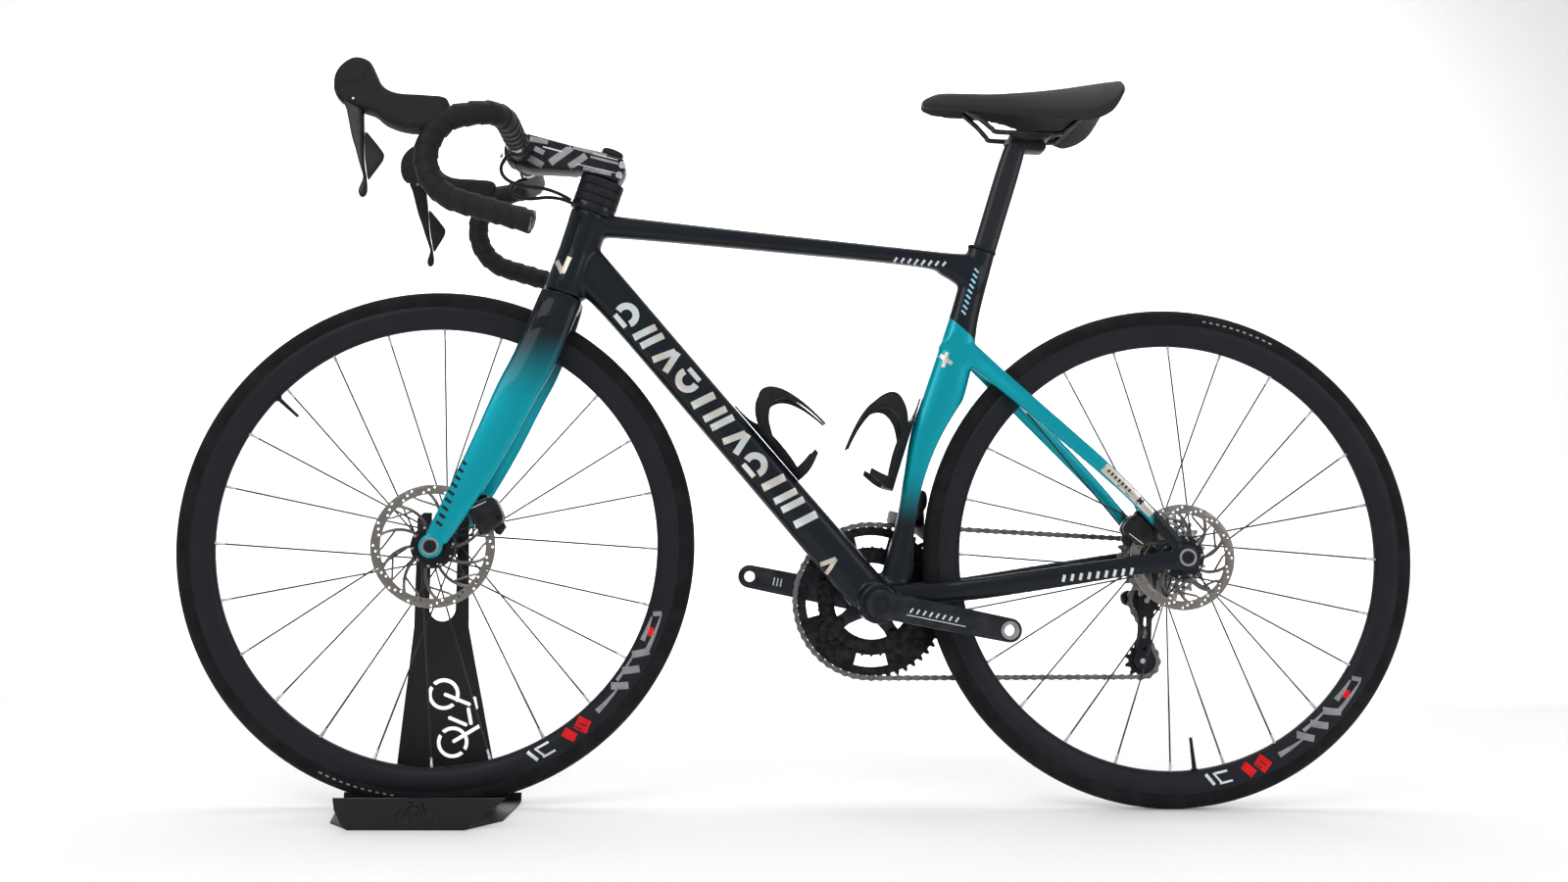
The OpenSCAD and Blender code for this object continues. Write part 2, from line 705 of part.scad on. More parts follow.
module down_tube() color("#0c1117") difference() {
    loft([for (q = down_rows) let (p = dt_front + (dt_rear - dt_front) * q[0])
        [p[0] - q[1], 0, p[2] - q[1], dt_lean, q[2] * down_tube_depth / 53, q[3] * down_tube_w / 44]]);
    head_tube_body(fit);
    shell_body(fit);
    seat_tube_body();
    steering_frame() at(0, 0, crown_s - 40) cylinder(r = 44, h = 41);
}

// Seat tube bulges round the rear tyre; each row is x and z from the crank axis, depth and width
seat_rows = [
    [22, 10, 44, 40], [42, 98, 34, 30], [54.5, 166, 37, 27], [67.5, 221, 45, 27],
    [88, 271, 54, 27], [101.5, 318, 50, 27], [108.5, 351, 43, 27], [120, 398, 38, 27]
];

module seat_tube_body() loft([
    for (q = seat_rows) let (k = seat_tube_len / 503)
        [bb_x + q[0] * k, 0, bb_z + q[1] * k, 90 - seat_angle, q[2], q[3]],
    [seat_x, 0, seat_z, 90 - seat_angle, post_depth + 6, post_w + 7]
]);

module post_plan(grow) {
    r = post_w / 2;
    for (s = [-1, 1]) translate([s * (post_depth / 2 - r), 0]) circle(r = r + grow);
    square([post_depth - post_w, post_w + 2 * grow], center = true);
}

module post_frame() at(post_x, 0, seat_z) rotate([0, 90 - seat_angle, 0]) children();

module seat_tube() color("#0fa5bb") difference() {
    seat_tube_body();
    rear_hub_frame() y_rod(cut_r, -60, 60);
    shell_body(fit);
    post_frame() at(0, 0, -175) linear_extrude(200) post_plan(fit);
}

module bottom_bracket_shell() color("#0c1117") difference() {
    shell_body();
    at(bb_x, 0, bb_z) {
        y_rod(16, -50, 50);
        for (y = [-shell_half - 1, shell_half - 7]) y_rod(20.7 + fit / 2, y, y + 8);
    }
}

// Stays: each row is x from the rear axle, y, z from it, lean, depth and width
chainstay_rows = [
    [-320, 28.5, -52, 84, 30, 14], [-285, 34.5, -47, 82, 29, 13], [-250, 41, -42, 81, 29, 13],
    [-167, 55, -28, 81, 28, 13], [-78, 67, -13, 81, 26, 11], [-8, 74.5, -2, 83, 26, 7]
];
seatstay_rows = [
    [-268, 9, 266, 137, 28, 14], [-240, 18, 240, 137, 25, 13], [-193, 33, 197, 137, 23, 13],
    [-108, 56, 119, 137, 20, 12], [-60, 67, 71, 139, 18, 11], [-12, 74.5, 16, 140, 20, 7]
];

function from_axle(rows) = [for (q = rows) [rear_x + q[0], q[1], rear_z + q[2], q[3], q[4], q[5]]];

module dropout_pad(r) rear_hub_frame() y_rod(r, rear_hub_w / 2, rear_hub_w / 2 + 7);

module hub_space() rear_hub_frame() y_rod(30, 30, rear_hub_w / 2);

module chainstays() color("#0c1117") both_sides() difference() {
    union() {
        loft([[bb_x + 14, 23, bb_z + 4, 84, 40, 20], each from_axle(chainstay_rows)]);
        dropout_pad(17);
    }
    shell_body(fit);
    seat_tube_body();
    rear_hub_frame() y_rod(axle_d / 2 + fit, 60, 90);
    hub_space();
}

module seatstays() color("#0fa5bb") both_sides() difference() {
    loft(from_axle(seatstay_rows));
    seat_tube_body();
    dropout_pad(17 + fit);
    hub_space();
    rear_hub_frame() rotate([0, 80, 0]) at(-40, 60, -100) cube([40 + 12, 30, 100]);
}

module crank_bearings() color("#9a9a9c") at(bb_x, 0, bb_z)
    for (y = [-shell_half, shell_half - 7]) y_ring(20.7, spindle_d / 2 + fit, y, y + 7);

// ---------------------------------------------------------------- seat
module seatpost() color("#15161a") difference() {
    union() {
        post_frame() at(0, 0, -120) linear_extrude(115 + post_top) post_plan(0);
        side_plate(-14, 14)
            stadium([head_x - 2, rail_z - 13], [head_x + 34, rail_z - 14], 8);
    }
    at(head_x - 60, -20, rail_z - 9) cube([140, 40, 30]);
}

clamp_back = 46;

module saddle_clamp() color("#232427") difference() {
    at(head_x - 8, -rail_y - 6, rail_z - 8.9) cube([clamp_back, 2 * rail_y + 12, 15]);
    for (y = [-rail_y, rail_y]) at(head_x + 15, y, rail_z)
        rotate([0, 90, 0]) cylinder(d = rail_d + 2 * fit, h = 80, center = true);
    for (y = [-30, 30 - 16]) at(head_x - 10, y, rail_z + 1) cube([60, 16, 8]);
}

rail_x = head_x + 15;

rail_route = [
    [rail_x - 86, rail_y - 9, rail_z + 32], [rail_x - 66, rail_y - 5, rail_z + 17],
    [rail_x - 52, rail_y - 1, rail_z + 4], [rail_x - 42, rail_y, rail_z],
    [rail_x + 36, rail_y, rail_z], [rail_x + 49, rail_y + 1, rail_z + 5],
    [rail_x + 74, rail_y + 6, rail_z + 28]
];

module rails(grow = 0) both_sides() sweep(rail_route, rail_d / 2 + grow);

module saddle_rails() color("#8a8c90") rails();

// Saddle stations: share of the length, half width as a share, top and bottom above the rails
saddle_rows = [
    [0, 0.13, 45, 37], [0.03, 0.2, 51, 33], [0.12, 0.27, 58, 29], [0.37, 0.33, 60, 26],
    [0.55, 0.52, 62, 18], [0.72, 0.86, 66, 8], [0.82, 1, 70, 5], [0.93, 0.97, 75, 20],
    [1, 0.85, 77, 50]
];
saddle_sides = 28;

// Outline of the saddle across one station: a shallow dome above, drooping wings beside
function saddle_ring(q) = [for (k = [0 : saddle_sides - 1]) let (
        a = -360 * k / saddle_sides, w = q[1] * saddle_w / 2, y = w * sign(cos(a)) * pow(abs(cos(a)), 0.7),
        crown = q[2] - (q[2] - q[3]) * 0.75 * pow(abs(y / w), 3),
        belly = q[3] + (crown - q[3] - 7) * (1 - 0.85 * pow(abs(y / w), 2)) * 0.5
    ) [rail_x - 147 + q[0] * saddle_len, y, rail_z + (sin(a) > 0 ? max(crown, belly + 3) : belly)]];

module saddle() color("#17181a") difference() {
    skin([for (q = saddle_rows) each saddle_ring(q)], saddle_sides);
    at(rail_x - 60, -rail_y - 14, rail_z - 10) cube([112, 2 * rail_y + 28, 38]);
    rails(0.3);
}

// ---------------------------------------------------------------- bottle cages
// A cage lies along a tube: local z runs up the tube, local x away from it
cage_r = 37;

module bottle_cage() {
    at(0.4, -11, 0) cube([2.2, 22, 132]);
    at(0.4, -11, 0) cube([16, 22, 3]);
    at(cage_r + 3, 0, 0) {
        for (hoop = [[2.8, 13, 30], [88, 30, 75]]) at(0, 0, hoop[0]) rotate(hoop[2])
            rotate_extrude(angle = 360 - 2 * hoop[2]) translate([cage_r, 0]) square([3, hoop[1]]);
        for (a = [95, 235]) rotate(a)
            rotate_extrude(angle = 30) translate([cage_r + 0.4, 10]) square([2.2, 84]);
    }
}

module down_cage() translate(dt_front + (dt_rear - dt_front) * 0.69) rotate([0, dt_lean + 180, 0])
    at(down_tube_depth / 2 + 0.8, 0, 0) bottle_cage();

module seat_cage() translate(on_seat(150)) rotate([0, 90 - seat_angle, 0]) at(-21, 0, 0)
    mirror([1, 0, 0]) bottle_cage();

module bottle_cages() color("#1a1b1d") {
    down_cage();
    seat_cage();
}

// ---------------------------------------------------------------- drive
big_r = pulley_pitch_r(big_teeth);
small_r = pulley_pitch_r(small_teeth);
chain_half_h = 4.3;

module chainring(r, inner_r, y) difference() {
    y_rod(r - chain_half_h - 0.2, y - ring_t / 2, y + ring_t / 2);
    y_rod(inner_r, y - 5, y + 5);
    for (i = [0 : 3]) rotate([0, 45 + i * 90, 0]) at(bolt_circle_r, 0, 0) y_rod(4 + fit, y - 5, y + 5);
}

module chainring_pair() {
    difference() {
        chainring(big_r, 50, ring_y);
        for (i = [0 : 3]) rotate([0, i * 90, 0]) at(72, 0, 0) y_rod(6, 40, 60);
    }
    chainring(small_r, 46, inner_ring_y);
    for (i = [0 : 3]) rotate([0, 45 + i * 90, 0]) at(bolt_circle_r, 0, 0)
        y_rod(4, inner_ring_y - 2, ring_y + 2);
}

module spider() difference() {
    side_plate(shell_half + 0.5, ring_y - ring_t / 2 - 0.1) {
        circle(r = 26);
        for (i = [0 : 3]) rotate(45 + i * 90) stadium([0, 0], [bolt_circle_r, 0], 10);
    }
    for (i = [0 : 3]) rotate([0, 45 + i * 90, 0]) at(bolt_circle_r, 0, 0) y_rod(4 + fit, 30, 60);
}

// One crank arm pointing along +X, on the +Y side
module arm(root_y) difference() {
    hull() {
        y_rod(18, root_y, root_y + 15);
        at(crank_len, 0, 0) y_rod(16, 62, 74);
    }
    at(crank_len, 0, 0) y_rod(pedal_r, 55, 80);
}

module crank_frame() at(bb_x, 0, bb_z) rotate([0, crank_angle, 0]) children();

module crank_right() color("#1b1d20") crank_frame() mirror([1, 0, 0]) {
    arm(50);
    spider();
    y_rod(18, shell_half + 0.5, 51);
}

// The left crank and the spindle that joins it to the right one
module crank_left() color("#1b1d20") crank_frame() {
    difference() {
        mirror([0, 1, 0]) arm(50);
        y_rod(spindle_d / 2 + fit, -70, -40);
    }
    y_rod(spindle_d / 2, -64, shell_half + 0.5);
}

module chainrings() color("#131416") crank_frame() mirror([1, 0, 0]) chainring_pair();

module cassette() color("#77787b") rear_hub_frame() difference() {
    union() {
        y_rod(17, cog_y - 10 * cog_step - 1, cog_y + 1.8);
        for (i = [0 : 10])
            y_rod(pulley_pitch_r(cog_teeth[i]) - chain_half_h - 0.5,
                cog_y - i * cog_step - 0.75, cog_y - i * cog_step + 0.75);
    }
    y_rod(axle_d / 2 + fit, 0, 80);
}

// Sprockets that the chain meets in order: x, z, pitch radius, y, sense of turning
ring_c = [bb_x, bb_z, big_r, ring_y, 1];
tension_c = [tension_x, tension_z, pulley_r, cog_y, 1];
guide_c = [guide_x, guide_z, pulley_r, cog_y, -1];
cog_c = [rear_x, rear_z, pulley_pitch_r(cog_teeth[0]), cog_y, 1];

module chain_run(a, b) {
    angle = run_angle(a, b);
    p = touch(a, angle);
    q = touch(b, angle);
    d = q - p;
    translate(p) rotate([0, -angle, 0]) rotate([0, 0, atan2(d[1], norm([d[0], d[2]]))])
        at(-0.4, -2.7, -chain_half_h + 0.05)
            cube([norm(d) + 0.8, 5.4, 2 * chain_half_h - 0.1]);
}

module chain_arc(c, from, sweep_angle) at(c[0], c[3], c[1]) rotate([90, 0, 0]) rotate([0, 0, from])
    rotate_extrude(angle = sweep_angle) translate([c[2] - chain_half_h, -2.8])
        square([2 * chain_half_h, 5.6]);

module chain() color("#3a3a3c") {
    a1 = run_angle(ring_c, tension_c);
    a2 = run_angle(tension_c, guide_c);
    a3 = run_angle(guide_c, cog_c);
    a4 = run_angle(cog_c, ring_c);
    chain_run(ring_c, tension_c);
    chain_run(tension_c, guide_c);
    chain_run(guide_c, cog_c);
    chain_run(cog_c, ring_c);
    chain_arc(ring_c, a4 - 90, (a1 - a4 + 720) % 360);
    chain_arc(tension_c, a1 - 90, (a2 - a1 + 720) % 360);
    chain_arc(guide_c, a3 + 90, (a2 - a3 + 720) % 360);
    chain_arc(cog_c, a3 - 90, (a4 - a3 + 720) % 360);
}

// ---------------------------------------------------------------- derailleurs
fd_pin = [60, 134];

module front_derailleur() color("#1c1d1f") at(bb_x, 0, bb_z) {
    at(50, 15.4, 122) cube([22, 4, 30]);
    at(38, 15.4, 108) cube([16, 4, 36]);
    at(fd_pin[0], 0, fd_pin[1]) y_rod(3, 18, 34);
}

module front_derailleur_cage() color("#4a4b4e") at(bb_x, 0, bb_z) {
    for (y = [ring_y - 6.5, ring_y + 6.8]) side_plate(y, y + 1.5) difference() {
        intersection() {
            circle(r = big_r + 22, $fn = 96);
            polygon([[0, 0], [110, 84], [40, 200]]);
        }
        circle(r = big_r + 6, $fn = 96);
    }
    side_plate(ring_y - 6.5, ring_y + 8.3) intersection() {
        difference() {
            circle(r = big_r + 22, $fn = 96);
            circle(r = big_r + 20, $fn = 96);
        }
        polygon([[0, 0], [70, 150], [40, 200]]);
    }
    at(50, 27.3, 104) cube([16, ring_y - 6.5 - 27, 8]);
    difference() {
        at(50, 27.3, 104) cube([20, 3, 40]);
        at(fd_pin[0], 0, fd_pin[1]) y_rod(3 + fit, 20, 40);
    }
}

module rear_derailleur() color("#17181a") difference() {
    union() {
        side_plate(cog_y + 12.5, cog_y + 17)
            stadium([rear_x, rear_z], [guide_x + 3, guide_z + 20], 12);
        at(guide_x + 3, 0, guide_z + 20) y_rod(12, cog_y + 6, cog_y + 22);
    }
    rear_hub_frame() y_rod(axle_d / 2 + 3, 60, 95);
    rear_hub_frame() y_rod(17.3, 60, rear_hub_w / 2 + 7.3);
}

module derailleur_link() color("#17181a") difference() {
    side_plate(cog_y + 6.5, cog_y + 17) stadium([guide_x - 20, guide_z + 2], [guide_x, guide_z], 12);
    at(guide_x + 3, 0, guide_z + 20) y_rod(12.5, cog_y, cog_y + 40);
    at(guide_x, 0, guide_z) y_rod(3 + fit, 60, 90);
}

module derailleur_cage() color("#202124") {
    for (y = [cog_y - 5.5, cog_y + 4.4]) side_plate(y, y + 1.5) difference() {
        stadium([guide_x, guide_z], [tension_x, tension_z], 13);
        translate([(guide_x + tension_x) / 2, (guide_z + tension_z) / 2]) circle(r = 8);
    }
    for (p = [[guide_x, guide_z], [tension_x, tension_z]])
        at(p[0], 0, p[1]) y_rod(2.5, cog_y - 5, cog_y + 5);
    at(guide_x, 0, guide_z) y_rod(3, cog_y + 5.2, cog_y + 16);
}

module pulley() difference() {
    y_rod(pulley_r - chain_half_h - 0.2, cog_y - 1.2, cog_y + 1.2);
    y_rod(2.5 + fit, cog_y - 3, cog_y + 3);
}

module guide_pulley() color("#232427") at(guide_x, 0, guide_z) pulley();
module tension_pulley() color("#232427") at(tension_x, 0, tension_z) pulley();

stand();
fork();
front_axle();
headset_bearings();
headset_spacers();
stem();
stem_faceplate();
stem_bolts();
handlebar();
bar_tape();
lever_hoods();
control_hoses();
front_caliper();
front_pad_outer();
front_pad_inner();
brake_lever_left();
brake_lever_right();
shift_paddle_left();
shift_paddle_right();
front_tyre();
front_rim();
front_spokes();
front_hub();
front_hub_bearings();
front_rotor();
rear_tyre();
rear_rim();
rear_spokes();
rear_hub();
rear_hub_bearings();
rear_rotor();
head_tube();
top_tube();
down_tube();
seat_tube();
bottom_bracket_shell();
chainstays();
seatstays();
crank_bearings();
rear_axle();
rear_caliper();
rear_pad_outer();
rear_pad_inner();
bottle_cages();
front_derailleur();
front_derailleur_cage();
rear_derailleur();
derailleur_link();
derailleur_cage();
guide_pulley();
tension_pulley();
chain();
seatpost();
saddle_clamp();
saddle();
saddle_rails();
crank_right();
crank_left();
chainrings();
cassette();
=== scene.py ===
"""Road bicycle in a folded steel display stand: the visual model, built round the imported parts."""
import math

import bmesh
import bpy
from bpy.props import FloatProperty, FloatVectorProperty, IntProperty, PointerProperty
from mathutils import Matrix, Vector
from mathutils.bvhtree import BVHTree


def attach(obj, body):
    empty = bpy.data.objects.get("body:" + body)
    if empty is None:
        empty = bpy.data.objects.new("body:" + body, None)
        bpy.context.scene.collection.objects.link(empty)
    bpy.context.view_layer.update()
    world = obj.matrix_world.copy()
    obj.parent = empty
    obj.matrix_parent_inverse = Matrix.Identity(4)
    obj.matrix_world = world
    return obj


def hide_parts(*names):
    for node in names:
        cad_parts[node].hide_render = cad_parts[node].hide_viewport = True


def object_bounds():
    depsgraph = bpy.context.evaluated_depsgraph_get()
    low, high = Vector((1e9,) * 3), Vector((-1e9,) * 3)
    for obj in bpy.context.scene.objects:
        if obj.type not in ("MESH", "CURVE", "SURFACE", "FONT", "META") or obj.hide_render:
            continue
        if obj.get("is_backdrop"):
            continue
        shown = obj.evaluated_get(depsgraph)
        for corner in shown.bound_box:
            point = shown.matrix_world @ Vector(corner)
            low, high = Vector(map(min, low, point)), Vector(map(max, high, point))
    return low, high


bl_info = {
    "name": "Bicycle on stand",
    "version": (1, 0, 0),
    "blender": (4, 5, 0),
    "location": "3D View > Sidebar > Bicycle",
    "description": "Builds a road bicycle on its display stand, piece by piece",
    "category": "Object",
}

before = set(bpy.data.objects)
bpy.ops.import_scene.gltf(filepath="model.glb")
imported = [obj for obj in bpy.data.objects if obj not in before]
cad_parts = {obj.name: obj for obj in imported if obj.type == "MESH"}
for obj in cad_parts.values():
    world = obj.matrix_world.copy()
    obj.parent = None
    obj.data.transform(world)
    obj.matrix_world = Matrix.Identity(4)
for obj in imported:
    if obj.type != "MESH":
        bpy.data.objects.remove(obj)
CAD_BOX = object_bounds()

# Sizes are in millimetres here and become metres when a mesh is made.
MM = 0.001
TURN = 2 * math.pi
X, Y, Z = Vector((1, 0, 0)), Vector((0, 1, 0)), Vector((0, 0, 1))

FRONT_AXLE = Vector((-491.5, 0, 340.1))
REAR_AXLE = Vector((491.5, 0, 338))
CRANK_AXLE = Vector((90, 0, 272))
STEERING = Matrix.Translation((-446.675, 0, 325.967)) @ Matrix.Rotation(math.radians(17.5), 4, "Y")
BAR = Vector((-395.776, 0, 869.833))
BAR_HALF = 198
SEAT_LEAN = math.radians(16.5)
SEAT_TOP = Vector((232.86, 0, 754.29))
POST = Matrix.Translation((235.86, 0, 754.29)) @ Matrix.Rotation(SEAT_LEAN, 4, "Y")
RAIL = Vector((295.3, 0, 914.29))
POST_HEAD_X = 280.3
GUIDE = Vector((480.5, 66, 276))
TENSION = Vector((474.5, 66, 192))
RING_Y, INNER_RING_Y, COG_Y = 47.8, 40.5, 66
COG_STEP = 3.74
COGS = (11, 12, 13, 14, 15, 17, 19, 21, 24, 27, 30)
PITCH = 12.7
CRANK_TURN = math.radians(10.6)

FINISH = {}


# ---------------------------------------------------------------- shapes
# A shape is a pair: its points in millimetres, and its faces as lists of point numbers.

def smooth_path(points, per=8):
    """Rows of numbers with a smooth curve of rows put through them."""
    out = []
    last = len(points) - 1
    for i in range(last):
        near = (points[max(i - 1, 0)], points[i], points[i + 1], points[min(i + 2, last)])
        for k in range(per):
            t = k / per
            out.append(tuple(
                0.5 * (2 * q + (r - p) * t + (2 * p - 5 * q + 4 * r - s) * t * t
                       + (3 * q - p - 3 * r + s) * t ** 3)
                for p, q, r, s in zip(*near)
            ))
    out.append(tuple(points[-1]))
    return out


def even_path(points, step):
    """The same route with points an equal distance apart."""
    points = [Vector(p) for p in points]
    out, carry = [points[0]], 0.0
    for a, b in zip(points, points[1:]):
        gap = (b - a).length
        while carry + gap >= step and gap > 0:
            a = a + (b - a) * ((step - carry) / gap)
            gap = (b - a).length
            carry = 0.0
            out.append(a.copy())
        carry += gap
    out.append(points[-1])
    return out


def skin(rings, closed=False):
    """Faces through rings that have equal numbers of points, capped unless closed."""
    sides = len(rings[0])
    count = len(rings)
    faces = []
    for i in range(count if closed else count - 1):
        j = (i + 1) % count
        for k in range(sides):
            m = (k + 1) % sides
            faces.append((i * sides + k, j * sides + k, j * sides + m, i * sides + m))
    if not closed:
        faces.append(tuple(range(sides)))
        faces.append(tuple(range(count * sides - 1, (count - 1) * sides - 1, -1)))
    return [Vector(p) for ring in rings for p in ring], faces


def bent_power(value, power):
    return math.copysign(abs(value) ** (2 / power), value)


def loft(rows, sides=48, per=10, power=2.3):
    """An oval tube; each row is x, y, z, lean in degrees, depth and width."""
    rings = []
    for x, y, z, lean, depth, width in smooth_path(rows, per):
        a = math.radians(lean)
        ring = []
        for k in range(sides):
            t = TURN * k / sides
            u = depth / 2 * bent_power(math.cos(t), power)
            v = width / 2 * bent_power(math.sin(t), power)
            ring.append((x + u * math.cos(a), y + v, z - u * math.sin(a)))
        rings.append(ring)
    return skin(rings)


def sweep(route, radius, sides=16, flat=1.0):
    """A tube along a route; the radius is a number or a function of length and angle."""
    route = [Vector(p) for p in route]
    last = len(route) - 1
    ways = [(route[min(i + 1, last)] - route[max(i - 1, 0)]).normalized() for i in range(last + 1)]
    side = ways[0].cross(Y)
    if side.length < 0.1:
        side = ways[0].cross(Z)
    rings, length = [], 0.0
    for i, (p, way) in enumerate(zip(route, ways)):
        if i:
            length += (p - route[i - 1]).length
        side = (side - way * side.dot(way)).normalized()
        up = way.cross(side)
        ring = []
        for k in range(sides):
            a = TURN * k / sides
            r = radius(length, a) if callable(radius) else radius
            ring.append(p + side * (r * math.cos(a)) + up * (r * flat * math.sin(a)))
        rings.append(ring)
    return skin(rings)


def lathe(profile, centre=Vector(), sides=48, turn=TURN):
    """A profile of radius and y turned round the Y axis through the centre."""
    rings = []
    steps = sides if turn == TURN else sides + 1
    for i in range(steps):
        a = turn * i / sides
        rings.append([
            centre + Vector((r * math.cos(a), y, r * math.sin(a))) for r, y in profile
        ])
    return skin(rings, closed=turn == TURN)


def disc(centre, r, y0, y1, sides=32, edge=0.6):
    """A short round bar along Y with softened edges."""
    e = min(edge, abs(y1 - y0) / 3, r / 3)
    return lathe([(0, y0), (r - e, y0), (r, y0 + e), (r, y1 - e), (r - e, y1), (0, y1)],
                 Vector((centre[0], 0, centre[2])), sides)


def ring_bar(centre, r_out, r_in, y0, y1, sides=48, edge=0.5):
    """A round collar along Y with softened edges."""
    e = min(edge, (r_out - r_in) / 3, abs(y1 - y0) / 3)
    return lathe([
        (r_in + e, y0), (r_out - e, y0), (r_out, y0 + e), (r_out, y1 - e), (r_out - e, y1),
        (r_in + e, y1), (r_in, y1 - e), (r_in, y0 + e)
    ], Vector((centre[0], 0, centre[2])), sides)


def bolt(centre, y, out, r=4.0, height=3.0, socket=2.0):
    """A cap screw head on the plane y, facing along out, with a six-sided socket."""
    side = []
    for rad, h in ((r, 0), (r, height - 0.6), (r - 0.6, height)):
        side.append([(rad, h)] * 24)
    for h in (height, height * 0.35):
        side.append([(socket / math.cos((TURN * k / 24 + TURN / 12) % (TURN / 6) - TURN / 12), h)
                     for k in range(24)])
    rings = [[
        (centre[0] + rad * math.cos(TURN * k / 24), y + out * h,
         centre[2] + rad * math.sin(TURN * k / 24))
        for k, (rad, h) in enumerate(ring)
    ] for ring in side]
    return skin(rings)


def rounded(outline, per=4):
    """A closed outline with a smooth curve put through its points."""
    count = len(outline)
    looped = smooth_path([outline[(i - 1) % count] for i in range(count + 3)], per)
    return looped[per:per * (count + 1)]


def inset(outline, depth):
    """A closed outline drawn in by a depth."""
    count = len(outline)
    area = sum(outline[i - 1][0] * outline[i][1] - outline[i][0] * outline[i - 1][1]
               for i in range(count))
    sign = 1 if area > 0 else -1
    out = []
    for i in range(count):
        a, b, c = (Vector(outline[(i + k) % count]) for k in (-1, 0, 1))
        way = (b - a).normalized() + (c - b).normalized()
        way.normalize()
        out.append(b + Vector((-way.y, way.x)) * depth * sign)
    return out


def puffed(outline, half, rim, middle=0.0, crown=0.0):
    """A side-view outline given a thickness and rounded edges."""
    rings = []
    for share, cut in ((-1, 1), (-0.92, 0.42), (-0.7, 0.1), (0, -crown), (0.7, 0.1), (0.92, 0.42),
                       (1, 1)):
        rings.append([(p[0], middle + share * half, p[1]) for p in inset(outline, cut * rim)])
    return skin(rings)


def stadium(a, b, ra, rb=None, steps=10):
    """The outline round two circles in the side view."""
    rb = ra if rb is None else rb
    way = math.atan2(b[1] - a[1], b[0] - a[0])
    out = []
    for centre, r, start in ((b, rb, way - math.pi / 2), (a, ra, way + math.pi / 2)):
        for i in range(steps + 1):
            t = start + math.pi * i / steps
            out.append((centre[0] + r * math.cos(t), centre[1] + r * math.sin(t)))
    return out


def circle(centre, r, steps=32, start=0.0):
    return [(centre[0] + r * math.cos(start + TURN * i / steps),
             centre[1] + r * math.sin(start + TURN * i / steps)) for i in range(steps)]


def plate(outlines, y0, y1, edge=0.25):
    """A flat plate in the side view; outlines inside others are holes."""
    curve = bpy.data.curves.new("plate_outline", "CURVE")
    curve.dimensions = "2D"
    curve.fill_mode = "BOTH"
    curve.extrude = (y1 - y0) / 2 - edge
    curve.bevel_depth = edge
    curve.bevel_resolution = 1
    curve.offset = -edge
    for outline in outlines:
        spline = curve.splines.new("POLY")
        spline.points.add(len(outline) - 1)
        for point, (x, z) in zip(spline.points, outline):
            point.co = (x, z, 0, 1)
        spline.use_cyclic_u = True
    holder = bpy.data.objects.new("plate_outline", curve)
    bpy.context.collection.objects.link(holder)
    mesh = bpy.data.meshes.new_from_object(
        holder.evaluated_get(bpy.context.evaluated_depsgraph_get()))
    points = [Vector((v.co.x, (y0 + y1) / 2 - v.co.z, v.co.y)) for v in mesh.vertices]
    faces = [tuple(p.vertices) for p in mesh.polygons]
    bpy.data.objects.remove(holder)
    bpy.data.curves.remove(curve)
    bpy.data.meshes.remove(mesh)
    return points, faces


def moved(shape, matrix):
    return [matrix @ Vector(p) for p in shape[0]], shape[1]


def shifted(shape, change):
    """A shape with each point put through a function."""
    return [Vector(change(p)) for p in shape[0]], shape[1]


def mirrored(shape):
    return [Vector((p[0], -p[1], p[2])) for p in shape[0]], [tuple(reversed(f)) for f in shape[1]]


def joined(shapes):
    points, faces = [], []
    for shape in shapes:
        base = len(points)
        points += shape[0]
        faces += [tuple(i + base for i in f) for f in shape[1]]
    return points, faces


def both_sides(shape):
    return joined([shape, mirrored(shape)])


def about(axis, angle):
    """A turn about the Y axis through a point, in the sense that lifts +X for plus angles."""
    return (Matrix.Translation(axis) @ Matrix.Rotation(-math.radians(angle), 4, "Y"))


# ---------------------------------------------------------------- objects

def mesh_object(name, parts):
    """One object from shapes and their finishes, with merged points and outward faces."""
    work = bmesh.new()
    finishes = []
    for shape, finish in parts:
        if finish not in finishes:
            finishes.append(finish)
        points = [work.verts.new(Vector(p) * MM) for p in shape[0]]
        faces = []
        for corner in shape[1]:
            face = work.faces.new([points[i] for i in corner])
            face.material_index = finishes.index(finish)
            face.smooth = True
            faces.append(face)
        bmesh.ops.remove_doubles(work, verts=points, dist=2e-6)
        bmesh.ops.recalc_face_normals(work, faces=[f for f in faces if f.is_valid])
    loose = [v for v in work.verts if not v.link_faces]
    bmesh.ops.delete(work, geom=loose, context="VERTS")
    mesh = bpy.data.meshes.new(name)
    work.to_mesh(mesh)
    work.free()
    for finish in finishes:
        mesh.materials.append(FINISH[finish])
    obj = bpy.data.objects.new(name, mesh)
    bpy.context.collection.objects.link(obj)
    return obj


def baked(obj):
    """Turn an object's modifiers into plain mesh."""
    plain = bpy.data.meshes.new_from_object(
        obj.evaluated_get(bpy.context.evaluated_depsgraph_get()))
    obj.modifiers.clear()
    old = obj.data
    obj.data = plain
    bpy.data.meshes.remove(old)
    return obj


def add_modifier(obj, kind, **settings):
    modifier = obj.modifiers.new(kind.lower(), kind)
    for name, value in settings.items():
        setattr(modifier, name, value)
    return modifier


def claim(obj, body, stands_for=(), angle=38):
    """Shade an object, and tell the frame what it rides on and what it stands for."""
    for polygon in obj.data.polygons:
        polygon.use_smooth = True
    obj.data.set_sharp_from_angle(angle=math.radians(angle))
    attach(obj, body)
    if stands_for:
        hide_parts(*stands_for)
    return obj


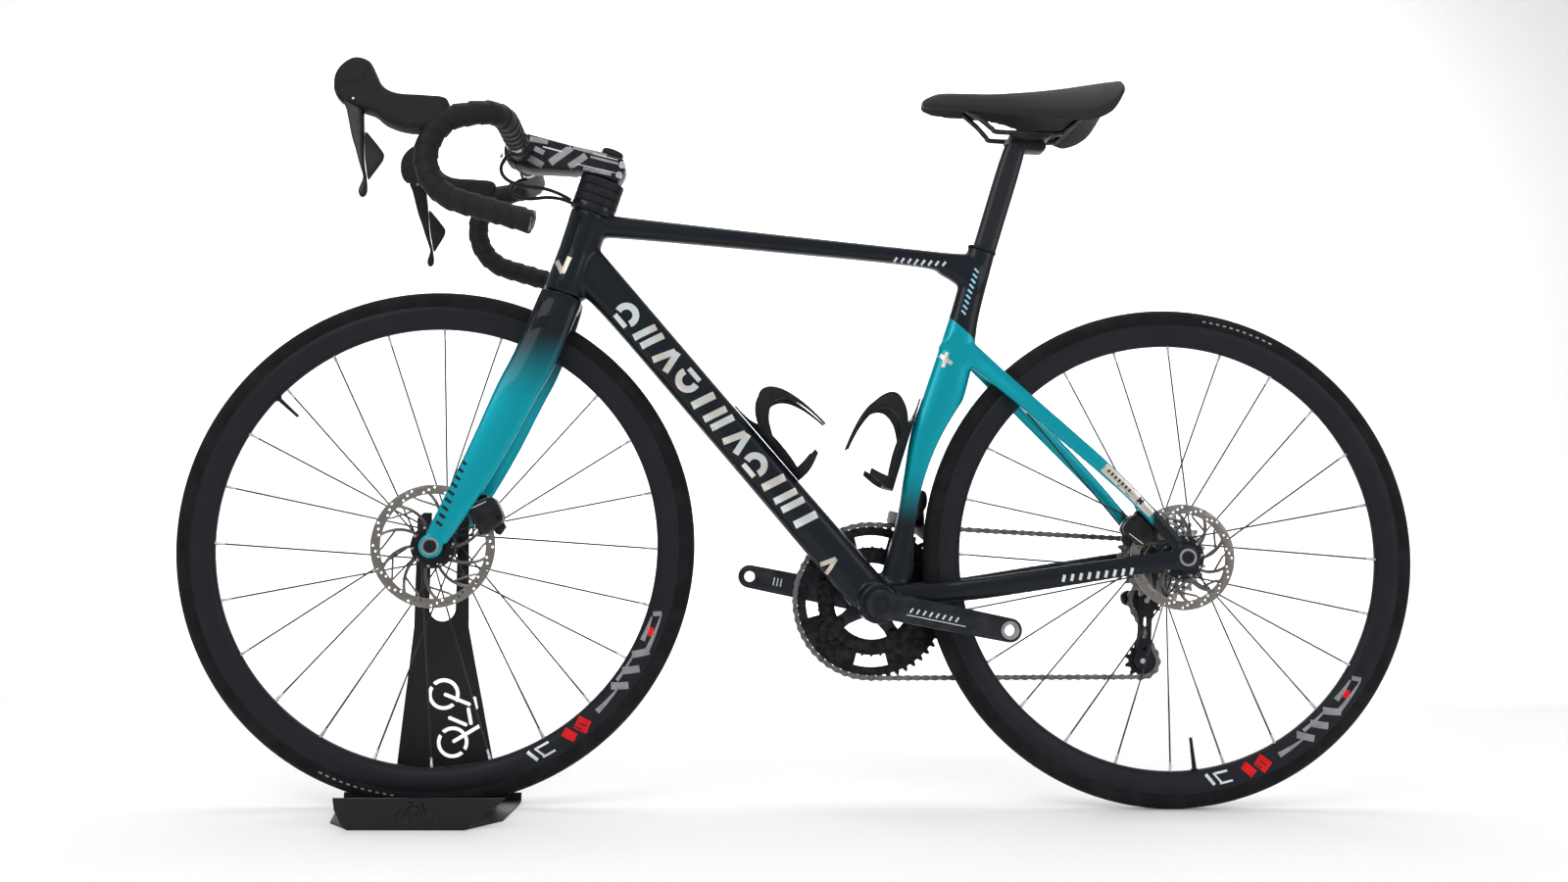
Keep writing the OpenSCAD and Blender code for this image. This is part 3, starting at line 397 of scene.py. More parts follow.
def piece(name, body, parts, stands_for=(), bevel=0.0, angle=38):
    """A finished piece from shapes and finishes, with its sharp edges softened."""
    obj = mesh_object(name, parts)
    if bevel:
        add_modifier(obj, "BEVEL", width=bevel * MM, segments=2, limit_method="ANGLE",
                     angle_limit=math.radians(40), use_clamp_overlap=True)
        baked(obj)
    return claim(obj, body, stands_for, angle)


def melted(name, shapes, finish, voxel, rounds, factor=0.5):
    """Shapes fused into one skin with soft joints between them."""
    obj = mesh_object(name, [(shape, finish) for shape in shapes])
    add_modifier(obj, "REMESH", mode="VOXEL", voxel_size=voxel * MM, use_smooth_shade=True)
    add_modifier(obj, "SMOOTH", factor=factor, iterations=rounds)
    return baked(obj)


# ---------------------------------------------------------------- node trees

class Wire:
    """A socket of a node tree, with arithmetic that adds the nodes for it."""

    def __init__(self, tree, socket):
        self.tree = tree
        self.socket = socket

    def maths(self, operation, other=0.0):
        return self.tree.node("ShaderNodeMath", {"operation": operation}, {0: self, 1: other})

    def __add__(self, other):
        return self.maths("ADD", other)

    def __sub__(self, other):
        return self.maths("SUBTRACT", other)

    def __mul__(self, other):
        return self.maths("MULTIPLY", other)

    def __truediv__(self, other):
        return self.maths("DIVIDE", other)

    def __rsub__(self, other):
        return self.tree.node("ShaderNodeMath", {"operation": "SUBTRACT"}, {0: other, 1: self})

    def __abs__(self):
        return self.maths("ABSOLUTE")

    def __mod__(self, other):
        return self.maths("FLOORED_MODULO", other)

    __radd__ = __add__
    __rmul__ = __mul__

    def rise(self, low, high):
        """0 below low, 1 above high, and a soft slope between."""
        return self.tree.node("ShaderNodeMapRange", {"interpolation_type": "SMOOTHSTEP"},
                              {"Value": self, "From Min": low, "From Max": high})


class Tree:
    """A node tree that grows by whole expressions."""

    def __init__(self, tree):
        self.tree = tree

    def node(self, kind, settings=None, values=None, out=0):
        made = self.tree.nodes.new(kind)
        for name, value in (settings or {}).items():
            setattr(made, name, value)
        for key, value in (values or {}).items():
            if isinstance(value, Wire):
                self.tree.links.new(value.socket, made.inputs[key])
            else:
                made.inputs[key].default_value = value
        return Wire(self, made.outputs[out])

    def parts(self, vector):
        """The x, y and z of a vector."""
        x = self.node("ShaderNodeSeparateXYZ", values={0: vector})
        return x, Wire(self, x.socket.node.outputs[1]), Wire(self, x.socket.node.outputs[2])


class Finish(Tree):
    """A material: constants on the shader's sockets, and patterns wired to a few of them."""

    def __init__(self, name, **constants):
        material = bpy.data.materials.new(name)
        material.use_nodes = True
        super().__init__(material.node_tree)
        self.shader = self.tree.nodes["Principled BSDF"]
        for key, value in {"Specular_IOR_Level": 0.12, **constants}.items():
            self.shader.inputs[key.replace("_", " ")].default_value = value
        self.place = self.node("ShaderNodeTexCoord", out=3)
        FINISH[name] = material

    def stretched(self, x, y, z):
        return self.node("ShaderNodeMapping", values={"Vector": self.place, "Scale": (x, y, z)})

    def noise(self, scale, detail=3.0, vector=None):
        return self.node("ShaderNodeTexNoise", values={
            "Vector": vector or self.place, "Scale": scale, "Detail": detail, "Roughness": 0.55})

    def cells(self, scale, feature="F1"):
        return self.node("ShaderNodeTexVoronoi", {"feature": feature},
                         {"Vector": self.place, "Scale": scale})

    def blend(self, share, a, b):
        def four(colour):
            return colour if isinstance(colour, Wire) else (*colour, 1.0)
        return self.node("ShaderNodeMix", {"data_type": "RGBA"},
                         {0: share, 6: four(a), 7: four(b)}, out=2)

    def wire(self, socket, value):
        self.tree.links.new(value.socket, self.shader.inputs[socket])

    def relief(self, height, depth, strength=1.0):
        """Raise the surface by a height of 0 to 1 times a depth in millimetres."""
        self.wire("Normal", self.node("ShaderNodeBump", values={
            "Height": height, "Distance": depth * MM, "Strength": strength}))

    def wheel_place(self):
        """Angle, radius and y about whichever wheel is nearer, in metres."""
        x, y, z = self.parts(self.place)
        across = abs(x) - REAR_AXLE.x * MM
        up = z - 0.339
        angle = up.maths("ARCTAN2", across)
        return angle, (across * across + up * up).maths("SQRT"), y


def plain_finish(name, dark, light, rough, mottle=60, grain=900, depth=0.03, **constants):
    """A finish with two close tones, uneven gloss and a fine grain."""
    f = Finish(name, **constants)
    cloud = f.noise(mottle)
    fine = f.noise(grain, 2.0)
    f.wire("Base Color", f.blend(cloud.rise(0.3, 0.7), dark, light))
    f.wire("Roughness", rough[0] + cloud * (rough[1] - rough[0]) * 0.7 + fine * (rough[1] - rough[0]) * 0.3)
    f.relief(fine, depth)
    return f


def lacquer(name, black, teal, mask):
    """Clear-coated paint that runs from black to metallic teal by a mask of the place."""
    f = Finish(name, Coat_Weight=0.22, Coat_Roughness=0.03, Coat_IOR=1.5)
    flake = f.cells(2600)
    glint = f.node("ShaderNodeSeparateColor", values={
        0: Wire(f, flake.socket.node.outputs["Color"])})
    cloud = f.noise(9, 2.0)
    share = mask(f)
    deep = f.blend(glint * 0.6 + cloud * 0.4, black, tuple(c * 2.1 + 0.002 for c in black))
    bright = f.blend(glint * 0.35 + cloud * 0.65, tuple(c * 0.82 for c in teal), teal)
    f.wire("Base Color", f.blend(share, deep, bright))
    f.wire("Metallic", share * 0.45)
    f.wire("Roughness", 0.30 + cloud * 0.08 - share * 0.02 + glint * 0.04)
    f.relief(f.noise(420, 2.0), 0.02)
    return f


def frame_teal(f):
    """Teal on the seat tube and seat stays, cut off by a slanted edge above."""
    x, y, z = f.parts(f.place)
    below_edge = 1 - (z + x * 0.859).rise(0.8195, 0.8207)
    behind = (x - z * 0.2962).rise(-0.052, -0.050)
    tube = z.rise(0.372, 0.462)
    stay = x.rise(0.225, 0.245) * z.rise(0.36, 0.40)
    end = 1 - x.rise(0.443, 0.449)
    return below_edge * behind * tube.maths("MAXIMUM", stay) * end


def fork_teal(f):
    """Teal at the foot of the fork, fading to black under the crown."""
    x, y, z = f.parts(f.place)
    return 1 - (z + f.noise(14, 1.0) * 0.01).rise(0.520, 0.632)


def make_finishes(colours):
    """Every material of the bicycle and its stand."""
    black, teal = tuple(colours.frame_black), tuple(colours.teal)
    lacquer("frame_lacquer", black, teal, frame_teal)
    lacquer("fork_lacquer", black, teal, fork_teal)

    f = Finish("decal_silver", Metallic=0.85, Coat_Weight=0.6, Coat_Roughness=0.08)
    hue = f.noise(16, 2.0)
    rainbow = f.blend(hue.rise(0.42, 0.62), (0.74, 0.70, 0.62), (0.72, 0.80, 0.78))
    f.wire("Base Color", f.blend(f.noise(38, 1.0).rise(0.56, 0.7), rainbow, (0.80, 0.68, 0.72)))
    f.wire("Roughness", 0.24 + hue * 0.14)
    f.relief(f.noise(700, 1.0), 0.01)

    plain_finish("decal_grey", (0.24, 0.24, 0.25), (0.32, 0.32, 0.33), (0.34, 0.46), Metallic=0.55)
    plain_finish("decal_pale", (0.62, 0.64, 0.67), (0.74, 0.76, 0.78), (0.3, 0.42), Metallic=0.35)
    plain_finish("decal_red", (0.60, 0.008, 0.012), (0.74, 0.014, 0.018), (0.32, 0.44))
    plain_finish("decal_dark", (0.010, 0.016, 0.022), (0.016, 0.024, 0.032), (0.28, 0.38))
    plain_finish("decal_blue", (0.25, 0.55, 0.75), (0.35, 0.66, 0.85), (0.3, 0.4))
    plain_finish("champagne", (0.58, 0.52, 0.44), (0.70, 0.64, 0.56), (0.24, 0.38), Metallic=0.8)

    f = Finish("rim_composite", Coat_Weight=0.05, Coat_Roughness=0.3)
    angle, radius, y = f.wheel_place()
    rings = f.noise(1.0, 3.0, f.node("ShaderNodeCombineXYZ", values={
        0: angle * 9.0, 1: radius * 2600.0, 2: y * 900.0}))
    cloud = f.noise(22)
    f.wire("Base Color", f.blend(cloud, (0.008, 0.009, 0.012), (0.014, 0.016, 0.020)))
    f.wire("Roughness", 0.40 + rings * 0.10 + cloud * 0.06)
    f.relief(rings, 0.02)

    f = Finish("tyre_rubber")
    angle, radius, y = f.wheel_place()
    lines = (angle * 210.0 + abs(y) * 900.0).maths("SINE")
    shoulder = abs(y).rise(0.0045,
                           0.0055) * (1 - abs(y).rise(0.0105, 0.0115)) * radius.rise(0.326, 0.328)
    cord_lines = (angle * 900.0 + radius * 2600.0).maths("SINE") * (1 - radius.rise(0.324, 0.330))
    dust = f.noise(30, 4.0)
    f.wire("Base Color", f.blend(dust.rise(0.35, 0.75), (0.006, 0.006, 0.007),
                                 (0.013, 0.013, 0.014)))
    f.wire("Roughness", 0.62 + dust * 0.2)
    f.relief(lines.rise(0.2, 0.9) * shoulder + cord_lines * 0.08 + f.noise(1500, 2.0) * 0.25, 0.28)

    f = Finish("tape_black", Specular_IOR_Level=0.2)
    crease = f.noise(1.0, 4.0, f.stretched(320, 320, 320))
    dots = f.cells(420).rise(0.0, 0.32)
    f.wire("Base Color", f.blend(f.noise(45), (0.006, 0.006, 0.007), (0.013, 0.013, 0.015)))
    f.wire("Roughness", 0.50 + crease * 0.22)
    f.relief(crease * 0.6 + dots * 0.4, 0.22)

    f = Finish("hood_rubber")
    ribs = f.cells(520).rise(0.05, 0.35)
    cloud = f.noise(50)
    f.wire("Base Color", f.blend(cloud, (0.010, 0.010, 0.011), (0.019, 0.019, 0.021)))
    f.wire("Roughness", 0.52 + cloud * 0.16)
    f.relief(ribs, 0.14)

    plain_finish("alloy_black", (0.008, 0.008, 0.009), (0.017, 0.017, 0.019), (0.22, 0.36),
                 grain=1400, depth=0.015, Metallic=0.3, Coat_Weight=0.15, Coat_Roughness=0.12)
    plain_finish("crank_dark", (0.016, 0.018, 0.021), (0.030, 0.033, 0.038), (0.30, 0.42),
                 grain=1600, depth=0.015, Metallic=0.6, Coat_Weight=0.1, Coat_Roughness=0.2)
    plain_finish("satin_black", (0.009, 0.010, 0.012), (0.017, 0.019, 0.022), (0.38, 0.52),
                 grain=1300, depth=0.02)
    plain_finish("gloss_black", (0.006, 0.007, 0.008), (0.013, 0.014, 0.016), (0.16, 0.26),
                 grain=500, depth=0.015, Coat_Weight=0.3, Coat_Roughness=0.06)
    plain_finish("moulded_black", (0.010, 0.010, 0.011), (0.018, 0.018, 0.020), (0.42, 0.58),
                 grain=1800, depth=0.04)
    plain_finish("hose_black", (0.008, 0.008, 0.009), (0.014, 0.014, 0.015), (0.36, 0.5),
                 grain=1500, depth=0.03)

    f = Finish("post_carbon", Coat_Weight=0.2, Coat_Roughness=0.1)
    strands = f.noise(1.0, 3.0, f.stretched(900, 900, 40))
    f.wire("Base Color", f.blend(strands, (0.006, 0.007, 0.009), (0.022, 0.024, 0.030)))
    f.wire("Roughness", 0.34 + strands * 0.14)
    f.relief(strands, 0.01)

    for name, dark, light, rough in (
        ("steel_bright", (0.42, 0.42, 0.43), (0.58, 0.58, 0.59), (0.22, 0.36)),
        ("alloy_grey", (0.28, 0.28, 0.29), (0.38, 0.38, 0.39), (0.28, 0.42)),
        ("chain_steel", (0.10, 0.10, 0.105), (0.20, 0.20, 0.205), (0.30, 0.46)),
        ("cog_steel", (0.20, 0.20, 0.205), (0.34, 0.34, 0.35), (0.26, 0.42)),
        ("rail_dark", (0.03, 0.03, 0.032), (0.06, 0.06, 0.063), (0.26, 0.4)),
        ("ring_dark", (0.012, 0.012, 0.013), (0.028, 0.028, 0.030), (0.30, 0.44)),
    ):
        plain_finish(name, dark, light, rough, mottle=120, grain=2200, depth=0.02, Metallic=1.0)

    f = Finish("rotor_steel", Metallic=1.0)
    angle, radius, y = f.wheel_place()
    swirl = f.noise(1.0, 3.0, f.node("ShaderNodeCombineXYZ", values={
        0: angle * 6.0, 1: radius * 3800.0, 2: 0.0}))
    worn = radius.rise(0.05, 0.062)
    f.wire("Base Color", f.blend(worn, (0.10, 0.085, 0.075), (0.20, 0.185, 0.17)))
    f.wire("Roughness", 0.26 + swirl * 0.18)
    f.relief(swirl, 0.02)

    f = Finish("spoke_steel", Metallic=0.35)
    streak = f.noise(700, 2.0)
    f.wire("Base Color", f.blend(streak, (0.018, 0.018, 0.020), (0.045, 0.045, 0.048)))
    f.wire("Roughness", 0.28 + streak * 0.16)

    f = Finish("brake_pad", Metallic=0.3)
    grit = f.cells(1400)
    f.wire("Base Color", f.blend(grit, (0.06, 0.045, 0.035), (0.16, 0.12, 0.09)))
    f.wire("Roughness", 0.6 + grit * 0.3)
    f.relief(grit, 0.08)

    f = Finish("powder_black", Coat_Weight=0.08, Coat_Roughness=0.35)
    pebble = f.noise(1100, 2.0)
    cloud = f.noise(12, 4.0)
    f.wire("Base Color", f.blend(cloud, (0.010, 0.010, 0.011), (0.019, 0.019, 0.021)))
    f.wire("Roughness", 0.36 + cloud * 0.12 + pebble * 0.08)
    f.relief(pebble, 0.09)

    f = Finish("saddle_cover", Specular_IOR_Level=0.25)
    x, y, z = f.parts(f.place)
    grain = f.cells(1150, "DISTANCE_TO_EDGE").rise(0.0, 0.14)
    groove = 1 - (abs(y) - 0.0 - (x - 0.148) * 0.10).maths("ABSOLUTE").rise(0.0004, 0.0013)
    stitch = ((x * 380.0) % 1.0).rise(0.25, 0.4) * groove
    cloud = f.noise(28)
    f.wire("Base Color", f.blend(cloud, (0.009, 0.009, 0.010), (0.020, 0.020, 0.022)))
    f.wire("Roughness", 0.44 + cloud * 0.14 + grain * 0.06)
    f.relief(grain * 0.25 - groove * 0.9 + stitch * 0.35, 0.5)

    f = Finish("studio_floor")
    f.wire("Base Color", f.blend(f.noise(3), (0.90, 0.90, 0.90), (0.93, 0.93, 0.93)))
    f.wire("Roughness", 0.75 + f.noise(8) * 0.1)


# ---------------------------------------------------------------- repeated parts

def copies_tree():
    """Nodes that repeat the incoming mesh round the Y axis, then carry it to its centre."""
    group = bpy.data.node_groups.new("copies_round_axis", "GeometryNodeTree")
    for name, kind in (("Geometry", "Geometry"), ("Count", "Int"), ("Centre", "Vector"),
                       ("Finish", "Material")):
        group.interface.new_socket(name, in_out="INPUT", socket_type="NodeSocket" + kind)
    group.interface.new_socket("Geometry", in_out="OUTPUT", socket_type="NodeSocketGeometry")
    t = Tree(group)
    given = t.node("NodeGroupInput")
    source = {s.name: Wire(t, s) for s in given.socket.node.outputs if s.name}
    dots = t.node("GeometryNodeMeshLine", values={"Count": source["Count"], "Offset": (0, 0, 0)})
    turn = t.node("GeometryNodeInputIndex") * TURN / source["Count"]
    spin = t.node("FunctionNodeEulerToRotation", values={
        0: t.node("ShaderNodeCombineXYZ", values={1: turn})})
    spread = t.node("GeometryNodeInstanceOnPoints", values={
        "Points": dots, "Instance": source["Geometry"], "Rotation": spin})
    real = t.node("GeometryNodeRealizeInstances", values={0: spread})
    placed = t.node("GeometryNodeTransform",
                    values={"Geometry": real, "Translation": source["Centre"]})
    made = t.node("GeometryNodeSetMaterial",
                  values={"Geometry": placed, "Material": source["Finish"]})
    t.tree.links.new(made.socket, t.tree.nodes.new("NodeGroupOutput").inputs[0])
    return group


def links_tree():
    """Nodes that lay two kinds of link by turns along the incoming closed curve."""
    group = bpy.data.node_groups.new("links_on_path", "GeometryNodeTree")
    for name, kind in (("Geometry", "Geometry"), ("Outer", "Object"), ("Inner", "Object"),
                       ("Count", "Int"), ("Finish", "Material")):
        group.interface.new_socket(name, in_out="INPUT", socket_type="NodeSocket" + kind)
    group.interface.new_socket("Geometry", in_out="OUTPUT", socket_type="NodeSocketGeometry")
    t = Tree(group)
    given = t.node("NodeGroupInput")
    source = {s.name: Wire(t, s) for s in given.socket.node.outputs if s.name}
    path = t.node("GeometryNodeResampleCurve", {"mode": "COUNT"},
                  {"Curve": source["Geometry"], "Count": source["Count"]})
    way = t.node("FunctionNodeAlignRotationToVector", {"axis": "X", "pivot_axis": "Y"},
                 {"Vector": t.node("GeometryNodeInputTangent")})
    odd = t.node("GeometryNodeInputIndex") % 2.0
    both = t.node("GeometryNodeJoinGeometry")
    for name, chosen in (("Outer", odd), ("Inner", 1 - odd)):
        link = t.node("GeometryNodeObjectInfo", values={"Object": source[name]}, out="Geometry")
        laid = t.node("GeometryNodeInstanceOnPoints", values={
            "Points": path, "Selection": chosen, "Instance": link, "Rotation": way})
        t.tree.links.new(laid.socket, both.socket.node.inputs[0])
    real = t.node("GeometryNodeRealizeInstances", values={0: both})
    made = t.node("GeometryNodeSetMaterial",
                  values={"Geometry": real, "Material": source["Finish"]})
    t.tree.links.new(made.socket, t.tree.nodes.new("NodeGroupOutput").inputs[0])
    return group


def run_tree(obj, group, **inputs):
    """Give an object a node tree with these inputs and bake the result."""
    modifier = obj.modifiers.new("nodes", "NODES")
    modifier.node_group = group
    for item in group.interface.items_tree:
        if item.in_out == "INPUT" and item.name in inputs:
            modifier[item.identifier] = inputs[item.name]
    return baked(obj)


def tree_named(name, build):
    return bpy.data.node_groups.get(name) or build()


def copied(name, shape, count, centre, finish):
    """A shape about the Y axis repeated evenly, as one object."""
    obj = mesh_object(name, [(shape, finish)])
    return run_tree(obj, tree_named("copies_round_axis", copies_tree), Count=count,
                    Centre=Vector(centre) * MM, Finish=FINISH[finish])


def merged(name, objects):
    """Several plain mesh objects made one."""
    work = bmesh.new()
    finishes = []
    for obj in objects:
        base = len(work.faces)
        work.from_mesh(obj.data)
        work.faces.ensure_lookup_table()
        slots = list(obj.data.materials)
        for finish in slots:
            if finish not in finishes:
                finishes.append(finish)
        for face in work.faces[base:]:
            face.material_index = finishes.index(slots[min(face.material_index, len(slots) - 1)])
    mesh = bpy.data.meshes.new(name)
    work.to_mesh(mesh)
    work.free()
    for finish in finishes:
        mesh.materials.append(finish)
    for obj in objects:
        bpy.data.objects.remove(obj)
    made = bpy.data.objects.new(name, mesh)
    bpy.context.collection.objects.link(made)
    return made


def film(name, body, finish, shell, strokes, sides=(-1,), lift=0.22, across=5):
    """Thin film laid on a shell: each stroke is a list of x, z and half width in the side view."""
    work = bmesh.new()
    work.from_mesh(shell.data)
    tree = BVHTree.FromBMesh(work)
    work.free()
    shapes = []
    for side in sides:
        for stroke in strokes:
            top, foot = [], []
            last = len(stroke) - 1
            for i, (x, z, half) in enumerate(stroke):
                a, b = stroke[max(i - 1, 0)], stroke[min(i + 1, last)]
                way = Vector((b[0] - a[0], b[1] - a[1])).normalized()
                cross = Vector((-way.y, way.x))
                top_row, foot_row = [], []
                for k in range(across):
                    s = (k / (across - 1) * 2 - 1) * half
                    start = Vector((x + cross.x * s, side * 400, z + cross.y * s)) * MM
                    spot, normal, _, _ = tree.ray_cast(start, Vector((0, -side, 0)))
                    if spot is None:
                        break
                    top_row.append(spot / MM + normal * lift)
                    foot_row.append(spot / MM - normal * 0.3)
                if len(top_row) == across:
                    top.append(top_row)
                    foot.append(foot_row)
            if len(top) > 1:
                shapes.append(skin([t + f[::-1] for t, f in zip(top, foot)]))
    if not shapes:
        raise RuntimeError(name + ": no stroke meets its shell")
    obj = mesh_object(name, [(joined(shapes), finish)])
    return claim(obj, body, angle=50)


def bar_stroke(a, b, half, steps=6):
    return [(a[0] + (b[0] - a[0]) * i / steps, a[1] + (b[1] - a[1]) * i / steps, half)
            for i in range(steps + 1)]


def arc_stroke(centre, r, start, end, half, steps=14):
    out = []
    for i in range(steps + 1):
        t = math.radians(start + (end - start) * i / steps)
        out.append((centre[0] + r * math.cos(t), centre[1] + r * math.sin(t), half))
    return out


def on_line(a, b, strokes):
    """Strokes drawn along and across a line, turned into the side view."""
    way = Vector((b[0] - a[0], b[1] - a[1])).normalized()
    up = Vector((-way.y, way.x))
    return [[(a[0] + way.x * s + up.x * t, a[1] + way.y * s + up.y * t, half)
             for s, t, half in stroke] for stroke in strokes]


# ---------------------------------------------------------------- frame and fork

def on_steering(s, x=0.0, y=0.0):
    return STEERING @ Vector((x, y, s))


def on_seat(d):
    return CRANK_AXLE + Vector((math.sin(SEAT_LEAN), 0, math.cos(SEAT_LEAN))) * d


TOP_FRONT, TOP_REAR = on_steering(472), on_seat(483)
DOWN_FRONT = on_steering(427.5)


def lean_of(a, b):
    return math.degrees(math.atan2(b[0] - a[0], b[2] - a[2]))


def seat_tube_shape():
    rows = [(22, 10, 44, 40), (42, 98, 34, 30), (54.5, 166, 37, 27), (67.5, 221, 45, 27),
            (88, 271, 54, 27), (102.5, 318, 52, 27), (110.5, 351, 47, 27), (121, 398, 39, 27)]
    tube = loft([(CRANK_AXLE.x + x, 0, CRANK_AXLE.z + z, 16.5, d, w) for x, z, d, w in rows]
                + [(SEAT_TOP.x, 0, SEAT_TOP.z, 16.5, 38, 27)], 72, 14, 2.5)

    def clear_tyre(p):
        away = Vector((p[0] - REAR_AXLE.x, 0, p[2] - REAR_AXLE.z))
        if away.length < 352:
            away = away.normalized() * 352
        return (REAR_AXLE.x + away.x, p[1], REAR_AXLE.z + away.z)

    return shifted(tube, clear_tyre)


def frame_shapes():
    """Every tube of the frame before the joints are softened."""
    lean = lean_of(TOP_FRONT, TOP_REAR)
    top = []
    for share, fall, depth in ((0, 2, 33), (0.1, 0, 29), (0.45, 0, 24.5), (0.84, 0.5, 23),
                               (0.91, 5, 32), (0.96, 12, 48), (1, 22, 66)):
        p = TOP_FRONT.lerp(TOP_REAR, share)
        top.append((p.x, 0, p.z - fall, lean, depth, 36 if share < 0.1 else 30))
    lean = lean_of(DOWN_FRONT, CRANK_AXLE)
    down = []
    for share, back, depth, width in ((0, 4, 67, 36), (0.13, 0, 55, 42), (0.5, 0, 54, 44),
                                      (0.85, 0, 56, 46), (0.98, 0, 57, 56)):
        p = DOWN_FRONT.lerp(CRANK_AXLE, share)
        down.append((p.x - back, 0, p.z - back, lean, depth, width))
    chain_rows = [(CRANK_AXLE.x + 14, 23, CRANK_AXLE.z + 4, 84, 40, 20)] + [
        (REAR_AXLE.x + x, y, REAR_AXLE.z + z, a, d, w) for x, y, z, a, d, w in (
            (-320, 28.5, -52, 84, 30, 14), (-285, 34.5, -47, 82, 29, 13),
            (-250, 41, -42, 81, 29, 13), (-167, 55, -28, 81, 28, 13),
            (-78, 67, -13, 81, 26, 11), (-8, 74.5, -2, 83, 26, 7))]
    seat_rows = [(REAR_AXLE.x + x, y, REAR_AXLE.z + z, a, d, w) for x, y, z, a, d, w in (
        (-306, 3, 296, 132, 40, 20), (-290, 5, 283, 135, 34,
                                      17), (-268, 9, 266, 137, 29,
                                            14), (-240, 18, 240, 137, 26,
                                                  13), (-193, 33, 197, 137, 23, 13),
        (-108, 56, 119, 137, 20, 12), (-60, 67, 71, 139, 18, 11), (-12, 74.5, 16, 140, 20, 7))]
    head = moved(upright([(0, 369.2), (26, 369.2), (28, 371), (27.6, 395), (26.6, 430), (27.2, 465),
                          (28.2, 484), (26.6, 486), (0, 486)], 64), STEERING)
    return [
        head,
        loft(top, 56, 12, 2.7),
        loft(down, 64, 12, 2.8),
        seat_tube_shape(),
        disc(CRANK_AXLE, 27, -43.2, 43.2, 64, 1.5),
        *[side for shape in (
            loft(chain_rows, 40, 10, 2.8), loft(seat_rows, 40, 10, 2.6),
            disc(REAR_AXLE, 17, 71, 78, 48, 1.5)) for side in (shape, mirrored(shape))],
    ]


def upright(profile, sides=48):
    """A profile of radius and height turned round the Z axis."""
    rings = []
    for i in range(sides):
        a = TURN * i / sides
        rings.append([(r * math.cos(a), r * math.sin(a), h) for r, h in profile])
    return skin(rings, closed=True)


def make_frame(voxel):
    shell = melted("frame_shell", frame_shapes(), "frame_lacquer", voxel, 9)
    claim(shell, "frame", (
        "head_tube", "top_tube", "down_tube", "seat_tube", "bottom_bracket_shell",
        "chainstays", "seatstays"), angle=70)
    frame_graphics(shell)
    piece("seat_collar", "frame", [
        (moved(loft([(0, 0, -1.5, 0, 39.6, 28.6), (0, 0, 1.2, 0, 39.6, 28.6),
                     (0, 0, 1.8, 0, 38, 27)],
                    56, 3, 2.5), Matrix.Translation(SEAT_TOP) @ Matrix.Rotation(SEAT_LEAN, 4, "Y")),
         "satin_black")])
    return shell


def frame_graphics(shell):
    """Plain geometric graphics where the frame carries its markings."""
    a, b = (DOWN_FRONT.x, DOWN_FRONT.z), (CRANK_AXLE.x, CRANK_AXLE.z)
    strokes = []
    cells = ("arc_up", "bars", "wedge", "arc_down", "bar", "bars", "wedge", "arc_up", "bar", "bars",
             "bar")
    s = 92.0
    for cell in cells:
        if cell == "arc_up":
            strokes += [arc_stroke((s + 16, -4), 12.5, 200, -20, 4.6),
                        bar_stroke((s + 5, -15), (s + 27, -15), 3.2)]
            s += 41
        elif cell == "arc_down":
            strokes += [arc_stroke((s + 16, 2), 12.5, 160, 380, 4.6),
                        bar_stroke((s + 5, 13), (s + 27, 13), 3.2)]
            s += 41
        elif cell == "bars":
            strokes += [bar_stroke((s + 4, -16), (s + 12, 16), 4.6),
                        bar_stroke((s + 19, -16), (s + 27, 16), 4.6)]
            s += 40
        elif cell == "wedge":
            strokes += [bar_stroke((s + 3, -16), (s + 14, 14), 4.4),
                        bar_stroke((s + 26, -14), (s + 17, 16), 4.4)]
            s += 38
        else:
            strokes += [bar_stroke((s + 5, -16), (s + 13, 16), 5.2)]
            s += 25
    film("down_tube_frieze", "frame", "decal_silver", shell, on_line(a, b, strokes), (-1, 1))

    stay_a, stay_b = (385, 456), (446, 395)
    film("stay_bands", "frame", "champagne", shell, [bar_stroke(stay_a, stay_b, 6.9, 24)],
         (-1, 1), 0.25)
    film("stay_marks", "frame", "decal_dark", shell, on_line(stay_a, stay_b, [
        *[bar_stroke((8 + i * 6, -2.4), (8 + i * 6, 2.4), 1.2) for i in range(7)],
        bar_stroke((60, -3), (67, 3), 1.6), bar_stroke((60, 3), (67, -3), 1.6)]), (-1, 1), 0.5)
    film("head_badge", "frame", "champagne", shell, [
        bar_stroke((-344, 722), (-335, 704), 3.2), bar_stroke((-326, 726), (-335, 704), 3.2)],
        (-1, 1), 0.3)
    film("seat_badge", "frame", "champagne", shell, [
        bar_stroke((174, 607), (190, 595), 2.8), bar_stroke((178, 590), (184, 611), 2.4)],
        (-1, 1), 0.3)
    film("foot_badge", "frame", "champagne", shell, [
        bar_stroke((14, 322), (34, 330), 3.0), bar_stroke((22, 310), (34, 330), 2.6)],
        (-1, 1), 0.3)
    film("seat_tube_strip", "frame", "decal_blue", shell, on_line((204, 660), (224, 727), [
        *[bar_stroke((4 + i * 7.5, -3.4), (8 + i * 7.5, 3.4), 1.3) for i in range(9)]]),
        (-1, 1), 0.25)
    film("top_tube_marks", "frame", "decal_pale", shell, on_line((108, 736), (186, 731), [
        *[bar_stroke((2 + i * 9.5, -3.0), (6 + i * 9.5, 3.0), 1.5) for i in range(8)]]),
        (-1, 1), 0.25)
    film("chain_stay_marks", "frame", "decal_pale", shell, on_line((326, 308), (426, 320), [
        *[bar_stroke((3 + i * 11, -4.4), (6 + i * 11, 4.4), 1.9) for i in range(9)]]),
        (-1, 1), 0.25)


